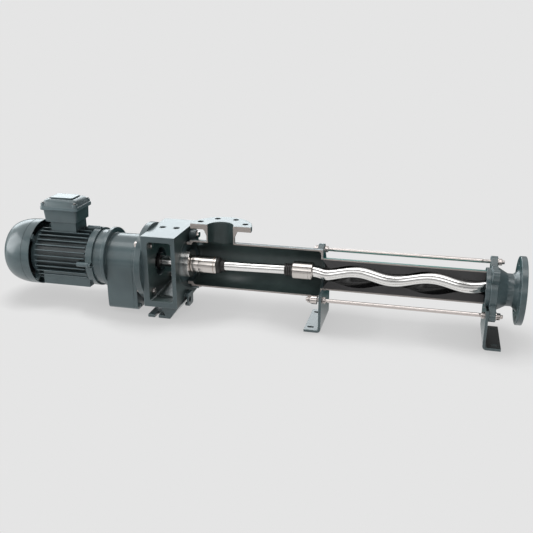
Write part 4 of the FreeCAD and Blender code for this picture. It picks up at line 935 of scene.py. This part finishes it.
def lantern_slot(x, y, z, normal):
    """Painted shade: the window gets the primer with painted shade so that it looks dark, and the machined
    face towards the casing gets the darker primer copy, which dims the seal cover's reflection in it.
    """
    if normal.x > 0.99 and abs(x - LANTERN_X[1]) < 0.5:
        return 2
    in_length = LANTERN_X[0] + LANTERN_REAR_WALL - 0.5 < x < LANTERN_X[1] - LANTERN_FRONT_WALL + 0.5
    in_window = in_length and WINDOW_Z[0] - 1.0 < z < WINDOW_Z[1] and abs(y) < LANTERN_HALF_Y - 1.0
    return 1 if in_window else 0


class PUMP_OT_lantern(bpy.types.Operator):
    """Lantern with its feet, and the seal parts that it carries"""
    bl_idname = "pump.lantern"
    bl_label = "Lantern and shaft seal"

    def execute(self, context):
        piece = dress("lantern", "enamel", edge="casting_edge")
        # Painted shade: dark primer in the window and on the face towards the casing
        recoat(piece, ("primer_with_painted_shade", "darker_primer_painted_shade"), lantern_slot)
        # A fine turned ring centres the suction casing on the lantern
        back, top, inner_r = LANTERN_X[1] - 0.5, LANTERN_X[1] + SPIGOT_PROUD, SPIGOT_R - 1.6
        ring = bmesh.new()
        outline = soften([(back, inner_r), (back, SPIGOT_R), (top, SPIGOT_R, 0.5), (top, inner_r, 0.5)])
        revolve(ring, outline, 128)
        tidy_mesh(ring)
        bmesh.ops.transform(ring, matrix=TO_CAD, verts=ring.verts)
        ring.from_mesh(piece.data)
        ring.to_mesh(piece.data)
        ring.free()
        dress("seal_housing", "enamel")
        dress("seal_cover", "faced")
        dress("plug_in_shaft", "polished")
        dress("splash_ring", "boot")
        finish_nodes("ceramic", "stationary_seal_ring", "rotating_seal_ring")
        bolts = bmesh.new()
        nuts = bmesh.new()
        nut_x = LANTERN_X[0] - GEAR_FLANGE_BACK - NUT_THICK
        for centre in corners(GEAR_FLANGE_BOLT):
            hex_bolt(bolts, LANTERN_X[0] + LANTERN_REAR_WALL, nut_x - 1.5, centre)
            flat_angle = math.degrees(math.atan2(centre[1], centre[0]))
            hexagon_prism(nuts, nut_x, nut_x + NUT_THICK, centre, flat_angle)
        place_fasteners("gear_flange_bolts", bolts)
        place_fasteners("gear_flange_nuts", nuts)
        return {"FINISHED"}


class PUMP_OT_discharge(bpy.types.Operator):
    """Discharge branch and the two bent plate feet"""
    bl_idname = "pump.discharge"
    bl_label = "Discharge branch and feet"

    def execute(self, context):
        dress("discharge_branch", "enamel", edge="casting_edge")
        dress("support_foot_suction", "enamel")
        # Painted shade: the top of the plate that stands on the floor gets a near black primer
        dress("support_foot_discharge", "enamel", "painted_shade_plate_top", is_cut=lambda face: face.normal.z > 0.99)
        return {"FINISHED"}


# Gear motor

class PUMP_OT_gear_unit(bpy.types.Operator):
    """Gear unit: adapter, housing, cover, screws and plugs"""
    bl_idname = "pump.gear_unit"
    bl_label = "Gear unit"

    def execute(self, context):
        for node in ("gearbox_adapter", "gearbox_housing", "gearbox_cover"):
            dress(node, "drive_enamel", edge="casting_edge")
        dress("socket_screws", "drive_enamel", share=0.8)
        dress("oil_plugs", "zinc")
        finish_nodes("boot", "gearbox_shaft_seals")
        finish_nodes("gear", "bearing_outer_rings", "output_bearing_inner_rings",
                     "layshaft_bearing_inner_rings", "motor_bearing_inner_rings", "input_pinion", "layshaft",
                     "layshaft_wheel", "output_wheel", "output_shaft", "motor_shaft")
        return {"FINISHED"}


def cowl_outline():
    """Section of the cowl's sheet: drum, seam groove, dome and inner side."""
    outer = [(COWL_X1, COWL_R, 0.6), (COWL_SEAM_X + 1.5, COWL_R), (COWL_SEAM_X + 0.8, COWL_R - SEAM_DEPTH),
             (COWL_SEAM_X - 0.8, COWL_R - SEAM_DEPTH), (COWL_SEAM_X - 1.5, COWL_R)]
    inner = [(COWL_SEAM_X, COWL_R - COWL_WALL), (COWL_X1, COWL_R - COWL_WALL, 0.6)]
    reach = COWL_SEAM_X - COWL_X0
    steps = 14
    for i in range(1, steps + 1):
        a = math.pi / 2 * i / steps
        outer.append((COWL_SEAM_X - reach * math.sin(a), COWL_END_R + (COWL_R - COWL_END_R) * math.cos(a)))
        inner.insert(0, (COWL_SEAM_X - (reach - COWL_WALL) * math.sin(a),
                         COWL_END_R - COWL_WALL + (COWL_R - COWL_END_R) * math.cos(a)))
    return outer + inner


def grille(bm):
    """End of the cowl: a round plate with parallel-sided slots in a star."""
    radii = [GRILLE_R[0] + (GRILLE_R[1] - GRILLE_R[0]) * i / 6 for i in range(7)]
    rows = []
    for r in [0.5, GRILLE_R[0] / 2] + radii + [COWL_END_R - 0.5]:
        row = []
        for i in range(GRILLE_SLOTS):
            middle = 2 * math.pi * i / GRILLE_SLOTS
            side = math.asin(min(1.0, GRILLE_HALF_WIDTH / max(r, GRILLE_R[0])))
            row += [middle - side, middle + side]
        rows.append([polar(COWL_X0, r, a) for a in row])
    verts = [[bm.verts.new(p) for p in row] for row in rows]
    count = 2 * GRILLE_SLOTS
    for j in range(len(rows) - 1):
        open_row = 2 <= j < 2 + len(radii) - 1
        for k in range(count):
            if open_row and k % 2 == 0:
                continue
            n = (k + 1) % count
            bm.faces.new((verts[j][k], verts[j][n], verts[j + 1][n], verts[j + 1][k]))
    bm.faces.new(verts[0])
    shell = bmesh.ops.extrude_face_region(bm, geom=list(bm.faces))
    moved = [v for v in shell["geom"] if isinstance(v, bmesh.types.BMVert)]
    bmesh.ops.translate(bm, vec=(COWL_WALL, 0, 0), verts=moved)


class PUMP_OT_motor(bpy.types.Operator):
    """Motor: fan cowl with its grille, finned frame, shields and inner parts"""
    bl_idname = "pump.motor"
    bl_label = "Motor"

    def execute(self, context):
        bm = bmesh.new()
        grille(bm)
        revolve(bm, soften(cowl_outline()), 128)
        place_piece("fan_cowl_pressed", bm, "drive_enamel", ["motor_fan_cowl"], sharp_angle=40.0)
        dress("motor_frame", "drive_enamel", edge="casting_edge", share=0.6)
        dress("motor_front_shield", "drive_enamel")
        dress("motor_rear_shield", "drive_enamel")
        finish_nodes("plastic", "motor_fan")
        finish_nodes("lamination", "motor_rotor_core", "motor_stator_core")
        finish_nodes("copper", "motor_windings")
        return {"FINISHED"}


class PUMP_OT_terminal_box(bpy.types.Operator):
    """Terminal box: body, lid, screws, cable entries and terminals"""
    bl_idname = "pump.terminal_box"
    bl_label = "Terminal box"

    def execute(self, context):
        bm = bmesh.new()
        loft(bm, [rounded_ring(BOX_X[0] + inset, BOX_X[1] - inset, inset - BOX_HALF_Y,
                               BOX_HALF_Y - inset * 0.2, BOX_Z[0] + rise, radius)
                  for inset, rise, radius in BOX_DRAFT])
        place_piece("terminal_box_cast", bm, "drive_enamel", ["terminal_box"])

        # Lid: upright rim, steep side, round shoulder, shallow step and raised panel
        bm = bmesh.new()
        x0, x1, half_y = BOX_X[0] - LID_LIP, BOX_X[1] + LID_LIP, BOX_HALF_Y + LID_LIP
        loft(bm, [rounded_ring(x0 + inset, x1 - inset, inset - half_y, half_y - inset, BOX_Z[1] + rise,
                               radius) for inset, rise, radius in LID_PROFILE])
        # A round boss stands in each corner and carries the screw
        tower = ((LID_BOSS_R, BOX_Z[1] + 8.0), (LID_BOSS_R, LID_BOSS_TOP - 1.0),
                 (LID_BOSS_R - 1.0, LID_BOSS_TOP), (LID_BOSS_R - 2.4, LID_BOSS_TOP),
                 (LID_BOSS_R - 2.6, LID_BOSS_TOP - 1.5))
        round_ring = [point[1:] for point in circle(0.0, 1.0, (0.0, 0.0), 32)]
        for x in (x0 + LID_BOSS_INSET, x1 - LID_BOSS_INSET):
            for y in (LID_BOSS_INSET - half_y, half_y - LID_BOSS_INSET):
                loft(bm, [[(x + r * a, y + r * b, z) for a, b in round_ring] for r, z in tower])
        place_piece("terminal_box_lid_cast", bm, "drive_enamel", ["terminal_box_lid"])
        dress("terminal_box_screws", "gear")
        dress("cable_entry_plugs", "plastic")
        finish_nodes("plastic", "terminal_block")
        return {"FINISHED"}


# Stage

BACKGROUND = linear("#e5e5e5")


def softbox(name, place, target, width, height, radiance, colour=(1.0, 1.0, 1.0)):
    """Flat lamp of a given brightness per area that looks at a point."""
    lamp = bpy.data.lights.new(name, "AREA")
    lamp.shape = "RECTANGLE"
    lamp.size = width
    lamp.size_y = height
    lamp.energy = radiance * math.pi * width * height
    lamp.color = colour
    holder = bpy.data.objects.new(name, lamp)
    holder.location = place
    holder.rotation_euler = (Vector(target) - Vector(place)).to_track_quat("-Z", "Y").to_euler()
    bpy.context.scene.collection.objects.link(holder)
    holder.visible_camera = False


def studio_world():
    """Even pale backdrop for the camera; bright and dark bands of a studio for light and reflections."""
    world = bpy.data.worlds.new("studio")
    world.use_nodes = True
    tree = world.node_tree
    tree.nodes.clear()
    way = add_node(tree, "TexCoord").outputs["Generated"]
    split = add_node(tree, "SeparateXYZ", {"Vector": way})
    front = add_node(tree, "Math", {0: split.outputs["Y"], 1: -1.0}, operation="MULTIPLY")
    turn = add_node(tree, "Math", {0: split.outputs["Z"], 1: front.outputs[0]}, operation="ARCTAN2")
    # 0 is the horizon in front, 0.5 is straight up, 1 is the horizon behind
    height = map_range(tree, turn.outputs[0], 0.0, 1.0, from_max=math.pi)
    tones = ((0.03, 0.06), (0.09, 1.0), (0.25, 1.0), (0.29, 0.1), (0.33, 0.1), (0.39, 0.85), (0.54, 1.0),
             (0.82, 0.75), (0.94, 0.3))
    bands = ramp(tree, height, [(position, grey(tone)) for position, tone in tones])
    # The side that the discharge flange mirrors is dim
    side = map_range(tree, split.outputs["X"], 1.0, 0.12, from_min=0.1, from_max=0.75)
    studio = add_node(tree, "Background", {"Color": bands, "Strength": side})
    backdrop = add_node(tree, "Background", {"Color": BACKGROUND, "Strength": 1.0})
    ray = add_node(tree, "LightPath")
    both = mix_shaders(tree, ray.outputs["Is Camera Ray"], studio.outputs[0], backdrop.outputs[0])
    add_node(tree, "OutputWorld", {"Surface": both})
    return world


def floor_material():
    """Matt paper: its shade for the camera, plain paper for light, and strips of tone for mirror images."""
    material, tree, place = start_material("matt_paper_floor")
    split = add_node(tree, "SeparateXYZ", {"Vector": place})
    # The motor hangs lower than the pump, so that its shadow is drawn from a shorter reach
    reach = map_range(tree, split.outputs["X"], 0.12, 0.19, from_min=-0.55, from_max=-0.2)
    shade = nearness(tree, reach, [(0.1, linear("#bcbcbc")), (0.45, linear("#c5c5c5")),
                                   (0.7, linear("#cacaca")), (0.97, BACKGROUND)], samples=32)
    shown = add_node(tree, "Emission", {"Color": shade, "Strength": 1.0})
    paper = add_node(tree, "BsdfDiffuse", {"Color": BACKGROUND, "Roughness": 1.0})
    # Glossy parts mirror pale floor with one dark strip in front of the unit and unlit floor behind it
    depth = map_range(tree, split.outputs["Y"], 0.0, 1.0, from_min=-1.5, from_max=0.5)
    tones = ((0.0, 0.6), (0.36, 0.7), (0.40, 0.22), (0.46, 0.22), (0.52, 0.8), (0.73, 0.8))
    stops = [(position, grey(tone)) for position, tone in tones] + [(0.88, linear("#1c4443"))]
    strips = ramp(tree, depth, stops)
    mirrored = add_node(tree, "Emission", {"Color": strips, "Strength": 1.0})
    ray = add_node(tree, "LightPath")
    glossy = mix_shaders(tree, ray.outputs["Is Glossy Ray"], paper.outputs[0], mirrored.outputs[0])
    both = mix_shaders(tree, ray.outputs["Is Camera Ray"], glossy, shown.outputs[0])
    add_node(tree, "OutputMaterial", {"Surface": both})
    return material


def aim_camera(camera):
    """Put the camera in place, level but for its small roll."""
    pitch, yaw, roll = [math.radians(a) for a in (CAMERA_PITCH, CAMERA_YAW, CAMERA_ROLL)]
    forward = Vector((-math.sin(yaw) * math.cos(pitch), math.cos(yaw) * math.cos(pitch), -math.sin(pitch)))
    right = forward.cross(Vector((0, 0, 1))).normalized()
    up = right.cross(forward)
    level_right = math.cos(roll) * right + math.sin(roll) * up
    level_up = math.cos(roll) * up - math.sin(roll) * right
    turn = Matrix((level_right, level_up, -forward)).transposed().to_4x4()
    camera.matrix_world = Matrix.Translation(CAMERA_PLACE) @ turn


class PUMP_OT_stage(bpy.types.Operator):
    """Pale floor, soft studio light and the camera"""
    bl_idname = "pump.stage"
    bl_label = "Stage"

    def execute(self, context):
        scene = context.scene
        scene.view_settings.view_transform = "Standard"

        bm = bmesh.new()
        bmesh.ops.create_grid(bm, x_segments=1, y_segments=1, size=9.0)
        mesh = bpy.data.meshes.new("studio_floor")
        bm.to_mesh(mesh)
        bm.free()
        floor = bpy.data.objects.new("studio_floor", mesh)
        scene.collection.objects.link(floor)
        mesh.materials.append(floor_material())

        scene.world = studio_world()

        # In metres; level tops mirror the back lamp, and the left one lights the fan cowl
        target = (0.0, 0.0, 0.15)
        softbox("back_softbox", (-1.6, 2.8, 1.45), target, 4.8, 1.3, 3.1, (0.88, 0.96, 1.0))
        softbox("top_softbox", (0.0, -0.3, 2.3), target, 3.2, 0.8, 2.5)
        softbox("left_softbox", (-2.9, -0.9, 1.1), (-0.6, 0.0, 0.15), 1.8, 2.1, 4.2, (0.95, 0.98, 1.0))
        softbox("front_softbox", (0.2, -3.2, 1.5), target, 3.0, 0.7, 1.0)

        camera_data = bpy.data.cameras.new("camera")
        camera_data.sensor_width = 36.0
        camera_data.lens = CAMERA_LENS
        camera = bpy.data.objects.new("camera", camera_data)
        scene.collection.objects.link(camera)
        aim_camera(camera)
        scene.camera = camera
        return {"FINISHED"}


OPERATORS = (
    PUMP_OT_stage, PUMP_OT_motor, PUMP_OT_terminal_box, PUMP_OT_gear_unit, PUMP_OT_lantern,
    PUMP_OT_suction_casing, PUMP_OT_joints, PUMP_OT_rotor, PUMP_OT_stator, PUMP_OT_tie_rods,
    PUMP_OT_discharge,
)


class PUMP_PT_sidebar(bpy.types.Panel):
    bl_label = "Progressive cavity pump"
    bl_idname = "PUMP_PT_sidebar"
    bl_space_type = "VIEW_3D"
    bl_region_type = "UI"
    bl_category = "Pump"

    def draw(self, context):
        layout = self.layout
        for group in (context.scene.pump_paint, context.scene.pump_sizes):
            for name in group.__annotations__:
                layout.prop(group, name)
        for operator in OPERATORS:
            layout.operator(operator.bl_idname)


CLASSES = (PumpPaint, PumpSizes) + OPERATORS + (PUMP_PT_sidebar,)


def register():
    for cls in CLASSES:
        bpy.utils.register_class(cls)
    bpy.types.Scene.pump_paint = PointerProperty(type=PumpPaint)
    bpy.types.Scene.pump_sizes = PointerProperty(type=PumpSizes)


def unregister():
    del bpy.types.Scene.pump_sizes
    del bpy.types.Scene.pump_paint
    for cls in reversed(CLASSES):
        bpy.utils.unregister_class(cls)


def main():
    register()
    MATERIALS.update(build_materials(bpy.context.scene.pump_paint))
    for operator in OPERATORS:
        group, name = operator.bl_idname.split(".")
        getattr(getattr(bpy.ops, group), name)()


if __name__ == "__main__":
    main()
